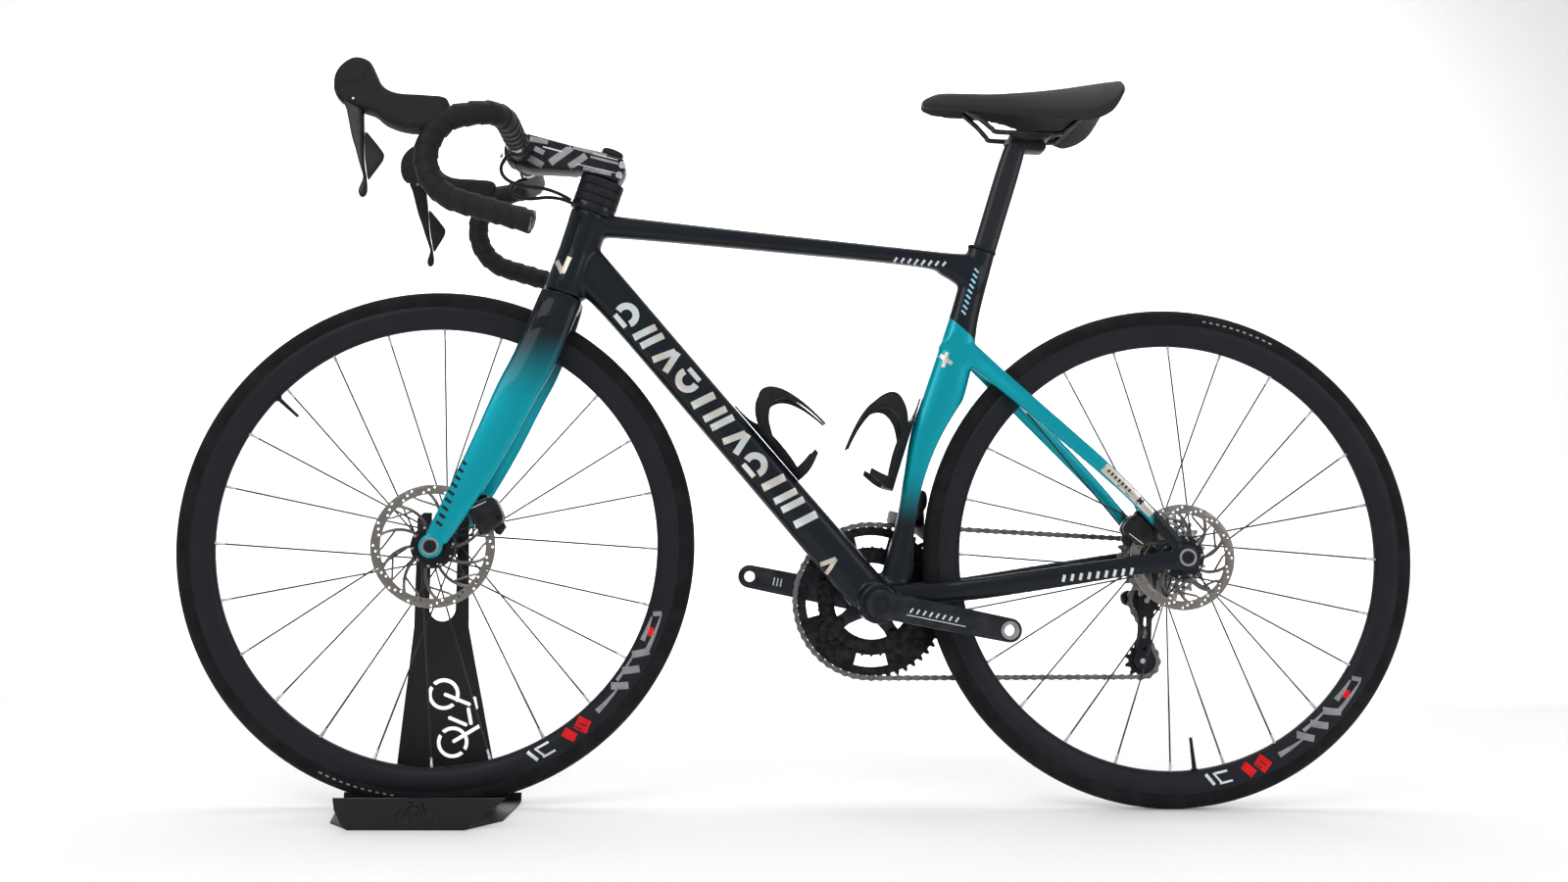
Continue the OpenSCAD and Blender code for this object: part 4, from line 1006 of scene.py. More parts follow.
def make_fork(voxel):
    rows = [(0.93, 0.03, 55.5, 12, 30, 11), (0.6, 0.245, 54, 10, 42, 12),
            (0.39, 0.42, 50, 8, 49, 14),
            (0.23, 0.6, 45, 7, 54, 15), (0.09, 0.72, 39, 5, 56, 17), (0.02, 0.85, 31, 3, 57, 20),
            (0, 0.95, 22, 0, 57, 24), (0, 1, 14, 0, 56, 28)]
    leg = moved(loft([(-q[0] * 47, q[2], q[1] * 368, q[3], q[4], q[5]) for q in rows], 56, 12, 2.5),
                STEERING)

    def clear_tyre(p):
        away = Vector((p[0] - FRONT_AXLE.x, 0, p[2] - FRONT_AXLE.z))
        if abs(p[1]) < 17 and away.length < 342:
            if p[1] > 9:
                return (p[0], 17, p[2])
            away = away.normalized() * 342
        return (FRONT_AXLE.x + away.x, p[1], FRONT_AXLE.z + away.z)

    leg = shifted(leg, clear_tyre)
    tip = disc(FRONT_AXLE, 15.5, 50, 61, 48, 1.5)
    crown = moved(upright([(0, 342), (20, 342), (26, 349), (27.8, 358), (27.8, 367.2),
                           (26.5, 368.2), (0, 368.2)],
                          64), STEERING)
    shell = melted("fork_shell", [leg, mirrored(leg), tip, mirrored(tip), crown], "fork_lacquer",
                   voxel, 7)
    claim(shell, "fork", ("fork",), angle=70)
    # A row of plain dark marks runs up each leg from the tip.
    film("fork_marks", "fork", "decal_dark", shell, on_line((-482, 366), (-448, 462), [
        *[bar_stroke((2 + i * 10.5, -4.6), (5 + i * 10.5, 4.6), 2.0) for i in range(9)]]),
        (-1, 1), 0.2)
    return shell


# ---------------------------------------------------------------- front end

def bar_route():
    """Right half of the bar, from the middle round the hook to its end."""
    route = [(0, 60, 0), (0, 138, 0), (-3, 166, 0), (-13, 185, -0.5), (-32, 195, -4)]
    for i in range(11):
        a = math.radians(122 + 133 * i / 10)
        route.append((-30 + 58 * math.cos(a), 198 + 1.3 * i, -61 + 58 * math.sin(a)))
    end = route[-1]
    a = math.radians(-15)
    for share in (0.3, 0.65, 1):
        route.append((end[0] + 90 * share * math.cos(a), 211 + 2 * share,
                      end[2] + 90 * share * math.sin(a)))
    return [BAR + Vector(p) for p in route]


def make_handlebar():
    smooth = [Vector(p) for p in smooth_path([tuple(p) for p in bar_route()], 6)]
    core_line = [BAR + Vector((0, y, 0)) for y in range(0, 60, 3)] + smooth

    def core(length, angle):
        return 15.9 - 4.0 * min(max((length - 46) / 10, 0), 1)

    piece("handlebar_core", "fork", [
        (both_sides(sweep(even_path(core_line, 3.0), core, 32)), "satin_black")], ("handlebar",))

    def wrapped(length, angle):
        turn = (length / 19 + angle / TURN) % 1.0
        lap = min(turn / 0.9, (1 - turn) / 0.1)
        swell = 0.25 * math.sin(length * 0.21 + 2 * angle) + 0.15 * math.sin(length * 0.57 - angle)
        grow = min(length / 14, 1.0)
        return 12.4 + grow * (1.3 + 1.6 * lap + 0.2 * swell)

    tape = sweep(even_path(smooth, 1.5), wrapped, 44)
    end = smooth[-1]
    way = (smooth[-1] - smooth[-3]).normalized()
    plug = sweep([end - way * 1, end + way * 0.2, end + way * 1.6, end + way * 2.2],
                 lambda length, angle: (14.2, 14.6, 13.4, 9.0)[min(int(length + 0.6), 3)], 32)
    band = sweep([smooth[0] + Y * s for s in (-1, 0, 6, 12, 13)], 14.4, 36)
    piece("bar_wraps", "fork", [
        (both_sides(tape), "tape_black"), (both_sides(plug), "gloss_black"),
        (both_sides(band), "gloss_black")], ("bar_tape",), angle=60)


def lever_frame(side):
    shift = Matrix.Translation((BAR.x, side * BAR_HALF, BAR.z - 16))
    return shift @ Matrix.Rotation(side * math.radians(9.5), 4,
                                   "X") @ Matrix.Translation((0, 0, 16))


HOOD = [(-64, 9), (-90, 13.5), (-124, 15), (-142, 24), (-152, 42), (-160, 56), (-177, 61),
        (-191, 53),
        (-200, 39), (-201, 23), (-193, 8), (-172, -4), (-152, -11), (-138, -22), (-115, -30),
        (-89, -30), (-66, -19)]
LEVER = [(-188, 6), (-185, -6), (-181, -22), (-176.5, -40), (-171, -56), (-166, -72), (-160.5, -88),
         (-159.5, -95), (-162.8, -106), (-163.5, -111), (-161.5, -116), (-157.5, -116.5),
         (-154, -112),
         (-153.8, -103), (-155.6, -92), (-158.5, -78), (-160.3, -66), (-161.4, -50), (-161.8, -36),
         (-163, -20), (-165, -6), (-166, 6)]
PADDLE = [(-161, -37), (-159, -34), (-150, -44), (-139, -58), (-136.8, -63), (-138, -70),
          (-143, -79),
          (-148, -87), (-153, -95), (-155, -91), (-157, -80), (-159, -69), (-160.4, -53)]


def make_levers():
    for side, name in ((-1, "left"), (1, "right")):
        place = lever_frame(side)
        shapes = [
            moved(puffed(rounded(HOOD, 4), 14.5, 7.0), place),
            moved(puffed(rounded([(-160, 50), (-178, 59), (-192, 50), (-199, 36), (-196, 22),
                                  (-176, 18),
                                  (-160, 30)], 4), 16.0, 8.0), place),
        ]
        hood = melted("lever_hood_" + name, shapes, "hood_rubber", 1.3, 8)
        claim(hood, "fork", ("lever_hoods",), angle=80)
        cover = puffed(rounded([(-199.5, 36), (-201.6, 22), (-197, 9), (-190, 5), (-188, 20),
                                (-192, 36)], 4),
                       9.0, 2.0)
        badge = puffed(rounded([(-200.2, 32), (-202.3, 24), (-200.5, 20), (-198, 28)], 2), 5.0, 0.6)
        piece("lever_front_" + name, "fork", [
            (moved(cover, place), "gloss_black"), (moved(badge, place), "alloy_grey"),
            (moved(disc((-175, 0, 3), 1.8, -15.4, 15.4, 20), place), "alloy_grey")])

        def slim(p):
            down = min(max((-p[2]) / 110, 0), 1)
            return (p[0], p[1] * (1.35 - 0.45 * down), p[2])

        blade = moved(shifted(puffed(rounded(LEVER, 3), 5.2, 2.2, crown=0.15), slim), place)
        piece("lever_blade_" + name, "brake_lever_" + name,
              [(blade, "alloy_black")], ("brake_lever_" + name,), angle=55)
        wing = moved(puffed(rounded(PADDLE, 3), 2.4, 1.1), place)
        piece("shift_wing_" + name, "shift_paddle_" + name,
              [(wing, "satin_black")], ("shift_paddle_" + name,), angle=55)


HOSE = [(-1, 66, -17.2), (-12, 62, -21), (-20, 54, -34), (-14, 46, -46), (6, 36, -52),
        (32, 25, -52),
        (52, 15, -56), (68, 9, -63)]


def make_hoses():
    for side, name in ((-1, "left"), (1, "right")):
        route = [BAR + Vector(p) for p in HOSE]
        route = [Vector((p.x, side * p.y, p.z)) for p in route]
        line = even_path(smooth_path([tuple(p) for p in route], 8), 2.5)
        hose = piece("control_hose_" + name, "fork",
                     [(sweep(line, 2.5, 16), "hose_black")], ("control_hoses",), angle=80)
        length = sum((b - a).length for a, b in zip(line, line[1:])) * MM
        tuple(line[0] * MM)
        [tuple(p * MM) for p in line]


def make_stem():
    """Stem, its faceplate and bolts, the spacers and the cap, in the frame of the steerer."""
    bar_s, clamp_s = 534, 535
    body = [(-114.5, bar_s - 20), (-104, bar_s - 20.5), (-93, bar_s - 19), (-60, bar_s - 9),
            (-38, clamp_s - 4),
            (-31, clamp_s + 0.2), (-10, clamp_s + 0.2), (22, clamp_s + 0.2), (25.5, clamp_s + 10),
            (26, clamp_s + 20),
            (22, clamp_s + 30), (18, clamp_s + 34), (-15, clamp_s + 34), (-55, bar_s + 30.5),
            (-114.5, bar_s + 26)]
    plate_rows = [(-115.5, bar_s - 20), (-115.5, bar_s + 26), (-122, bar_s + 25),
                  (-128, bar_s + 22),
                  (-133, bar_s + 17.5), (-136.5, bar_s + 12), (-138, bar_s + 4),
                  (-137.6, bar_s - 4),
                  (-135, bar_s - 11), (-131, bar_s - 16), (-125, bar_s - 20)]
    stem = piece("stem_body", "fork", [
        (moved(puffed(body, 20.9, 3.4), STEERING), "satin_black")], ("stem",), angle=30)
    piece("stem_cap_plate", "fork", [
        (moved(puffed(plate_rows, 20.9, 3.0), STEERING), "satin_black"),
        *[(moved(turned_forward((-136.2, y, bar_s + z), 3.4), STEERING), "alloy_grey")
          for y in (-14, 14) for z in (-13.5, 17.5)]], ("stem_faceplate",), angle=30)
    pinch = []
    for z in (10, 24):
        pinch.append((moved(bolt((20, 0, clamp_s + z), -20.6, -1, 4.6, 3.2, 2.2), STEERING),
                      "steel_bright"))
        pinch.append((moved(disc((20, 0, clamp_s + z), 3.4, 20.4, 21.4, 24, 0.3), STEERING),
                      "steel_bright"))
    piece("stem_screws", "fork", pinch, ("stem_bolts",))
    stack = []
    levels = [(486.5, 498.2, 0.5)] + [(498.6 + 12 * i, 510.2 + 12 * i, 0.0) for i in range(3)]
    for low, high, spread in levels:
        plan = [(x * (30 + spread) / 30, y * (22 + spread) / 22) for x, y in
                stadium((-8, 0), (8, 0), 22, steps=24)]
        rings = []
        for h, cut in ((low, 0.9), (low + 0.5, 0.2), (low + 1, 0), (high - 1, 0), (high - 0.5, 0.2),
                       (high, 0.9)):
            rings.append([(x, y, h) for x, y in inset(plan, cut)])
        stack.append((moved(skin(rings), STEERING), "gloss_black" if spread else "satin_black"))
    cap = upright([(0, 569.2), (14, 569.2), (15, 570.2), (15, 576.5), (13.8, 578), (5, 578),
                   (4.4, 576.5),
                   (0, 576.5)], 48)
    stack.append((moved(cap, STEERING), "satin_black"))
    piece("spacer_stack", "fork", stack, ("headset_spacers",), angle=40)
    side_marks(stem)


def turned_forward(centre, r):
    """A cap screw head that faces forwards along -X."""
    head = bolt((0, 0, 0), 0, -1, r, 3.0, r * 0.55)
    return moved(head, Matrix.Translation(centre) @ Matrix.Rotation(-math.pi / 2, 4, "Z"))


def side_marks(stem):
    """Angular silver-grey bands on both cheeks of the stem."""
    def row(points, half):
        spots = [on_steering(s, x) for x, s in points]
        return [(p.x, p.z, half) for p in spots]

    def dense(a, b, n=8):
        return [(a[0] + (b[0] - a[0]) * i / n, a[1] + (b[1] - a[1]) * i / n) for i in range(n + 1)]

    strokes = [
        row(dense((-108, 553), (-84, 557)), 3.4), row(dense((-108, 530), (-80, 524)), 4.6),
        row(dense((-72, 531), (-52, 560)), 4.8), row(dense((-50, 561.5), (-4, 564.5), 10), 2.6),
        row(dense((-46, 534), (-30, 556)), 4.6), row(dense((-28, 538), (10, 543), 8), 2.4),
        row(dense((-24, 556.5), (14, 559.5), 8), 1.6), row(dense((-98, 543), (-84, 541)), 3.4),
    ]
    film("stem_bands", "fork", "decal_grey", stem, strokes, (-1, 1), 0.2)
    film("stem_lines", "fork", "decal_pale", stem, [
        row(dense((-88, 548.5), (-62, 550.5)), 0.9), row(dense((-38, 541), (14, 546.4), 10), 0.5),
        row(dense((-22, 561.6), (12, 564.2), 8), 0.5)], (-1, 1), 0.3)


# ---------------------------------------------------------------- wheels

def tyre_profile():
    out = [(316.2, -10.6), (317.5, -11.4)]
    for i in range(29):
        a = math.radians(-118 + 236 * i / 28)
        out.append((325 + 13 * math.cos(a), 13 * math.sin(a)))
    return out + [(317.5, 11.4), (316.2, 10.6)]


def rim_profile():
    half = [(317.6, 10.4), (318, 11.2), (317.2, 11.8), (312, 12.0), (306, 11.7), (305.4, 11.55),
            (299, 10.2),
            (294, 8.2), (290.6, 5.9), (288.7, 3.6), (288, 1.2)]
    return [(r, -y) for r, y in half] + [(r, y) for r, y in reversed(half)]


def spoke_seed(flanges, flange_r):
    """Four neighbouring spokes with their bends, heads and nipples, about the hub axis."""
    shapes, nipples = [], []
    for i in range(4):
        right = i % 2
        trail = 1 if i < 2 else -1
        a = math.radians(i * 15)
        h = a + trail * math.radians(56)
        outward = trail * (1 if right else -1) > 0
        y = flanges[right] + trail * (2.5 + (0.95 if outward else 0.3))
        foot = Vector((flange_r * math.cos(h), y, flange_r * math.sin(h)))
        tip = Vector((287.7 * math.cos(a), 1.5 if right else -1.5, 287.7 * math.sin(a)))
        way = (tip - foot).normalized()
        head = foot - Y * (y - flanges[right]) * 1.6
        shapes.append(sweep([foot, foot + way * 3, foot + way * 12, tip - way * 16, tip], 1.2, 8))
        shapes.append(sweep([head, foot - way * 0.4, foot + way * 0.8], 1.0, 8))
        nipples.append(sweep([tip - way * 13, tip - way * 12.6, tip - way * 5, tip - way * 4.8,
                              tip + way * 1.4],
                             lambda length, angle: 1.75 if length < 8 else 2.1, 6))
    return joined(shapes), joined(nipples)


def hub_shape(y0, y1, flanges, flange_r, rotor_y):
    lo, hi = flanges
    profile = [(10, y0), (15.5, y0), (16.5, y0 + 1), (16.5, rotor_y + 5), (14, lo - 4),
               (flange_r - 1, lo - 2.2),
               (flange_r + 1, lo - 1), (flange_r + 1, lo + 1), (flange_r - 1, lo + 2.2),
               (13, lo + 6),
               (11.8, (lo + hi) / 2), (13, hi - 6), (flange_r - 1, hi - 2.2),
               (flange_r + 1, hi - 1),
               (flange_r + 1, hi + 1), (flange_r - 1, hi + 2.2), (14, hi + 4), (13.5, y1 - 1),
               (12.5, y1),
               (10, y1)]
    return lathe(profile, Vector(), 64)


def rotor_parts(r, y, centre):
    """Slotted track and curved arms of one rotor."""
    t = 0.9
    track = [circle((0, 0), r, 120), circle((0, 0), r - 12.5, 120)]
    for i in range(16):
        for off, rad in ((0.0, r - 3.6), (0.10, r - 6.6), (0.2, r - 9.4)):
            track.append(circle((rad * math.cos(TURN * i / 16 + off),
                                 rad * math.sin(TURN * i / 16 + off)), 1.55, 10))
    ring = moved(plate(track, y - t, y + t, 0.15), Matrix.Translation(centre))
    arm = []
    for i in range(9):
        share = i / 8
        rad = 24 + (r - 11 - 24) * share
        turn = 0.42 * share ** 1.4
        arm.append((rad * math.cos(turn), y, rad * math.sin(turn)))
    strut = sweep(arm, lambda length, angle: 2.2, 8, 0.34)
    brace = sweep([(arm[5][0], y, arm[5][2]),
                   ((r - 16) * math.cos(0.66), y, (r - 16) * math.sin(0.66)),
                   ((r - 11) * math.cos(0.72), y, (r - 11) * math.sin(0.72))], 1.5, 8, 0.5)
    return ring, joined([strut, brace])


def make_wheel(which):
    front = which == "front"
    centre = FRONT_AXLE if front else REAR_AXLE
    body = which + "_wheel"
    move = Matrix.Translation(centre)
    flanges = (-24, 32) if front else (-38, 17)
    flange_r = 20 if front else 22
    tyre = piece(which + "_tyre_tread", body, [
        (lathe(tyre_profile(), centre, 256), "tyre_rubber")], (which + "_tyre",), angle=60)
    rim = piece(which + "_rim_shell", body, [
        (lathe(rim_profile(), centre, 256), "rim_composite")], (which + "_rim",), angle=40)
    spokes, nipples = spoke_seed(flanges, flange_r)
    claim(copied(which + "_spoke_set", spokes, 6, centre, "spoke_steel"), body,
          (which + "_spokes",), 60)
    claim(copied(which + "_nipples", nipples, 6, centre, "steel_bright"), body, (), 60)
    rotor_y, rotor_r = (-39.6, 80) if front else (-56, 70)
    ends = (-43, 40) if front else (-62, 24)
    hub = hub_shape(ends[0], ends[1], flanges, flange_r + 0.4, rotor_y)
    piece(which + "_hub_shell", body, [
        (moved(hub, move), "gloss_black"),
        (ring_bar(centre, 22, 12, rotor_y - 3.2, rotor_y - 1.0, 48), "alloy_black")],
        (which + "_hub",), angle=30)
    ring, arm = rotor_parts(rotor_r, rotor_y, centre)
    piece(which + "_rotor_track", body, [(ring, "rotor_steel")], (which + "_rotor",),
          angle=30)
    claim(copied(which + "_rotor_arms", arm, 10, centre, "rotor_steel"), body, (),
          50)
    lock = [circle((0, 0), 29, 72), circle((0, 0), 20, 48)]
    for i in range(5):
        a = TURN * i / 5
        lock.append(circle((24.8 * math.cos(a), 24.8 * math.sin(a)), 2.2, 12))
    piece(which + "_rotor_carrier", body, [
        (moved(plate(lock, rotor_y - 1.4, rotor_y + 1.4, 0.3), move), "satin_black")], angle=30)
    spots = joined([disc((26 * math.cos(a), 0, 26 * math.sin(a)), 1.9, rotor_y - 2.0, rotor_y + 2.0,
                         12, 0.4)
                    for a in (0.12,)])
    claim(copied(which + "_rotor_rivets", spots, 10, centre, "steel_bright"), body, (), 40)
    make_valve(which, body, centre)
    rim_graphics(which, body, centre, rim, tyre)


def make_valve(which, body, centre):
    angle = math.radians(138.2 if which == "front" else -83.3)
    out = Vector((math.cos(angle), 0, math.sin(angle)))
    long = 36 if which == "front" else 44
    stem = sweep([centre + out * r for r in (289.5, 286, 289 - long + 8, 289 - long + 7.9,
                                             289 - long)],
                 lambda length, turn: 3.0 if length < long - 8 else 2.2, 20)
    nut = sweep([centre + out * r for r in (288.6, 286.4)], 5.0, 6)
    piece(which + "_valve", body, [(stem, "satin_black"), (nut, "alloy_black")])


def rim_graphics(which, body, centre, rim, tyre):
    """Plain bands, bars and a red block on the sides of the rim."""
    spot = (centre.x, centre.z)

    def arc(r, start, end, half, taper=0.0, steps=18):
        rows = arc_stroke(spot, r, start, end, half, steps)
        if taper:
            rows = [(x, z, half * (1 - taper * i / steps)) for i, (x, z, h) in enumerate(rows)]
        return rows

    def slant(angle, r0, r1, lead, half):
        rows = []
        for i in range(5):
            t = math.radians(angle + lead * i / 4)
            r = r0 + (r1 - r0) * i / 4
            rows.append((centre.x + r * math.cos(t), centre.z + r * math.sin(t), half))
        return rows

    turn = -20 if which == "front" else -36
    grey = [arc(308.0, turn - 6, turn + 3.5, 3.2, 0.7), arc(296.8, turn - 4, turn + 2.5, 3.4, 0.7),
            slant(turn + 3.2, 297, 308, 0.8, 3.0), slant(turn - 8.4, 293.5, 311, 2.8, 4.6),
            slant(turn - 13.2, 293.5, 311, 2.8, 4.6), slant(turn - 18.0, 293.5, 311, 2.8, 4.6),
            arc(302.4, turn - 25, turn - 17, 3.6, 0.75), arc(295.0, turn - 16, turn - 8, 2.2, 0.5)]
    pale = [slant(turn - 45, 294.5, 309.5, 1.6, 2.2), slant(turn - 43, 294.5, 309.5, 1.6, 1.3),
            arc(295.4, turn - 42.5, turn - 39.2, 1.4, 0.0, 8),
            arc(309.0, turn - 42, turn - 38.6, 1.4, 0.0, 8)]
    red = [slant(turn - 1.6, 298.6, 305.8, 0.9, 5.4), slant(turn - 30.6, 294.5, 310.5, 1.6, 8.6),
           slant(turn - 34.6, 294.5, 310.5, 1.6, 6.0)]
    dark = [slant(turn - 31.6, 298.0, 307.0, 1.0, 0.8), slant(turn - 30.2, 298.0, 307.0, 1.0, 0.8)]
    film(which + "_rim_grey", body, "decal_grey", rim, grey, (-1, 1), 0.18, 4)
    film(which + "_rim_pale", body, "decal_pale", rim, pale, (-1, 1), 0.18, 4)
    film(which + "_rim_red", body, "decal_red", rim, red, (-1, 1), 0.18, 4)
    film(which + "_rim_dark", body, "decal_dark", rim, dark, (-1, 1), 0.3, 4)
    mark = 82 if which == "rear" else 262
    dashes = [arc(325.5, mark - i * 1.7, mark - i * 1.7 - 0.8, 1.0, 0.0, 4) for i in range(11)]
    film(which + "_tyre_marks", body, "decal_grey", tyre, dashes, (-1, 1), 0.15, 3)


# ---------------------------------------------------------------- brakes and axles

def caliper_shapes(r, y, outer, inner, half):
    """One caliper about its axle, with x pointing outwards along its mount."""
    shell = [(r - 18, -half), (r + 8, -half), (r + 18, -half + 8), (r + 20, half - 8),
             (r + 10, half),
             (r - 12, half), (r - 19, half - 7), (r - 19, -half + 6)]
    ear = [(r - 3, -half - 6.5), (r + 10, -half - 6.5), (r + 13, -half), (r + 12, half),
           (r + 8, half + 6.5),
           (r - 3, half + 6.5)]
    parts = [
        (puffed(rounded(shell, 3), (outer - 3) / 2, 2.4, y - 3 - (outer - 3) / 2), "gloss_black"),
        (puffed(rounded(shell, 3), (inner - 3) / 2, 2.4, y + 3 + (inner - 3) / 2), "gloss_black"),
        (puffed(rounded([(r + 3, -half + 3), (r + 15, -half + 6), (r + 18, half - 8),
                         (r + 8, half - 2),
                         (r + 3, half - 4)], 3), 6, 2, y), "satin_black"),
        (puffed(rounded(ear, 3), inner / 2 - 2, 1.6, y + inner / 2 + 1), "satin_black"),
        (bolt((r - 6, 0, 0), y - outer + 0.6, -1, 6.2, 1.2, 3.0), "alloy_black"),
        (bar_shape((r - 14, half - 3), (r + 9, half - 5), y - outer - 0.1, 0.5), "decal_pale"),
        (bolt((r + 12.5, 0, -half + 9), y - outer + 1.2, -1, 2.8, 1.2, 1.3), "steel_bright"),
    ]
    for i in range(5):
        fin = [(r - 18 + i * 3.1, -half + 4), (r - 16.8 + i * 3.1, -half + 4),
               (r - 16.8 + i * 3.1, -half + 14), (r - 18 + i * 3.1, -half + 14)]
        parts.append((puffed(fin, 0.9, 0.2, y - outer + 0.8), "satin_black"))
    return parts


def bar_shape(a, b, y, half):
    """A fine raised line on the outer face of a caliper."""
    way = Vector((b[0] - a[0], b[1] - a[1])).normalized() * half
    ends = [(a[0] - way.y, a[1] + way.x), (b[0] - way.y, b[1] + way.x),
            (b[0] + way.y, b[1] - way.x),
            (a[0] + way.y, a[1] - way.x)]
    return skin([[(x, y, z) for x, z in ends], [(x, y + 0.6, z) for x, z in ends]])


def make_brakes():
    for which, axle, angle, sizes in (
        ("front", FRONT_AXLE, 31, (80, -39.6, 13, 15, 20)),
        ("rear", REAR_AXLE, 149, (70, -56, 7, 14, 17)),
    ):
        place = about(axle, angle)
        body = "fork" if which == "front" else "frame"
        piece(which + "_caliper_body", body, [
            (moved(shape, place), finish) for shape, finish in caliper_shapes(*sizes)],
            (which + "_caliper",), angle=35)
    for which, axle, ends, heads in (
        ("front", FRONT_AXLE, (-61, 61), 8), ("rear", REAR_AXLE, (-78, 78), 8),
    ):
        body = "fork" if which == "front" else "frame"
        low, high = ends
        rod = disc(axle, 6, low - 0.6, high, 32)
        head = bolt(axle, low - 0.2, -1, heads, 2.6, 3.4)
        collar = ring_bar(axle, 10, 6.2, low + 11.5 if which == "front" else low + 7.5,
                          -43.4 if which == "front" else -62.5)
        far = ring_bar(axle, 10, 6.2, 40.4 if which == "front" else 68.4,
                       49.8 if which == "front" else 70.8)
        rim = ring_bar(axle, 11.5, 8.2, low - 0.5, low + 0.6, 48, 0.3)
        piece(which + "_through_axle", body, [
            (rod, "satin_black"), (head, "gloss_black"), (collar, "alloy_black"),
                                                            (far, "alloy_black"),
            (rim, "alloy_grey"), (disc(axle, 7.2, high - 0.3, high + 0.5, 32, 0.2), "alloy_grey")],
            (which + "_axle",), angle=32)


# ---------------------------------------------------------------- drive

def pitch_r(teeth):
    return PITCH / 2 / math.sin(math.pi / teeth)


def tooth(r_root, r_tip, y, half, width):
    """One sprocket tooth on the +X side of the axis."""
    rings = []
    for rad, w, t in ((r_root, width, half), ((r_root + r_tip) / 2, width * 0.78, half),
                      (r_tip, width * 0.3, half * 0.45)):
        rings.append([(rad, y - t, -w / 2), (rad, y + t, -w / 2), (rad, y + t, w / 2),
                      (rad, y - t, w / 2)])
    return skin(rings)


def sprocket(name, teeth, y, half, centre, finish, windows=(), bore=10.0, grow=0.0):
    """A toothed disc as two objects made one."""
    r = pitch_r(teeth)
    root = r - 3.4
    outlines = [circle((0, 0), root, max(48, teeth * 3)), circle((0, 0), bore, 40), *windows]
    body = mesh_object(name + "_disc", [
        (moved(plate(outlines, y - half, y + half, min(0.25, half / 3)),
               Matrix.Translation(centre)), finish)])
    teeth_obj = copied(name + "_teeth", tooth(root - 0.6, r + 2.2 + grow, y, half, 7.6), teeth,
                       centre, finish)
    return merged(name, [body, teeth_obj])


def slot_windows(count, r0, r1, share, steps=6):
    """Curved openings spaced round a disc."""
    out = []
    for i in range(count):
        a0, a1 = TURN * (i - share / 2) / count, TURN * (i + share / 2) / count
        arc = [a0 + (a1 - a0) * k / steps for k in range(steps + 1)]
        out.append([(r1 * math.cos(a), r1 * math.sin(a)) for a in arc]
                   + [(r0 * math.cos(a), r0 * math.sin(a)) for a in reversed(arc)])
    return out


def make_cassette():
    cogs = []
    for i, teeth in enumerate(COGS):
        r = pitch_r(teeth)
        windows = slot_windows(6, 20, r - 8, 0.62) if r > 34 else ()
        cogs.append(sprocket("cog_%d" % teeth, teeth, COG_Y - i * COG_STEP, 0.75, REAR_AXLE,
                             "cog_steel",
                             windows, 16.5))
    core = mesh_object("cassette_core", [
        (ring_bar(REAR_AXLE, 17, 6.4, COG_Y - 38.2, COG_Y + 1.7, 48), "alloy_black"),
        (ring_bar(REAR_AXLE, 15.5, 9.5, COG_Y + 1.0, COG_Y + 2.2, 48), "satin_black")])
    claim(merged("cassette_stack", cogs + [core]), "cassette", ("cassette",), 32)


def run_angle(a, b):
    d = math.hypot(b[0] - a[0], b[1] - a[1])
    return math.atan2(b[1] - a[1], b[0] - a[0]) + math.asin((a[2] * a[4] - b[2] * b[4]) / d)


def chain_line():
    """Closed pitch line of the chain round ring, pulleys and smallest cog."""
    small = pitch_r(11)
    wheels = [(CRANK_AXLE.x, CRANK_AXLE.z, pitch_r(52), RING_Y, 1),
              (TENSION.x, TENSION.z, small, COG_Y, 1), (GUIDE.x, GUIDE.z, small, COG_Y, -1),
              (REAR_AXLE.x, REAR_AXLE.z, small, COG_Y, 1)]
    angles = [run_angle(wheels[i], wheels[(i + 1) % 4]) for i in range(4)]
    points = []
    for i, (x, z, r, y, sense) in enumerate(wheels):
        before, after = angles[i - 1], angles[i]
        if sense > 0:
            sweep_angle = (after - before + 2 * TURN) % TURN
        else:
            sweep_angle = -((before - after + 2 * TURN) % TURN)
        steps = max(4, int(abs(sweep_angle) * r / 4))
        for k in range(steps + 1):
            a = before + sweep_angle * k / steps
            points.append((x + r * sense * math.sin(a), y, z - r * sense * math.cos(a)))
    return points


def link_shape(outer):
    """One chain link centred on the origin, along X."""
    half = PITCH / 2
    waist = [(-half, 4.1), (-half - 3.2, 2.6), (-half - 4.1, 0), (-half - 3.2, -2.6), (-half, -4.1),
             (0, -2.7),
             (half, -4.1), (half + 3.2, -2.6), (half + 4.1, 0), (half + 3.2, 2.6), (half, 4.1),
             (0, 2.7)]
    shapes = []
    y = 2.2 if outer else 1.35
    for side in (-1, 1):
        shapes.append(skin([[(x, side * (y - 0.4), z) for x, z in waist],
                            [(x, side * (y + 0.4), z) for x, z in waist]]))
    for x in (-half, half):
        shapes.append(disc((x, 0, 0), 1.8 if outer else 3.6, -y - 0.5 if outer else -1.3,
                           y + 0.5 if outer else 1.3, 10, 0.2))
    return joined(shapes)


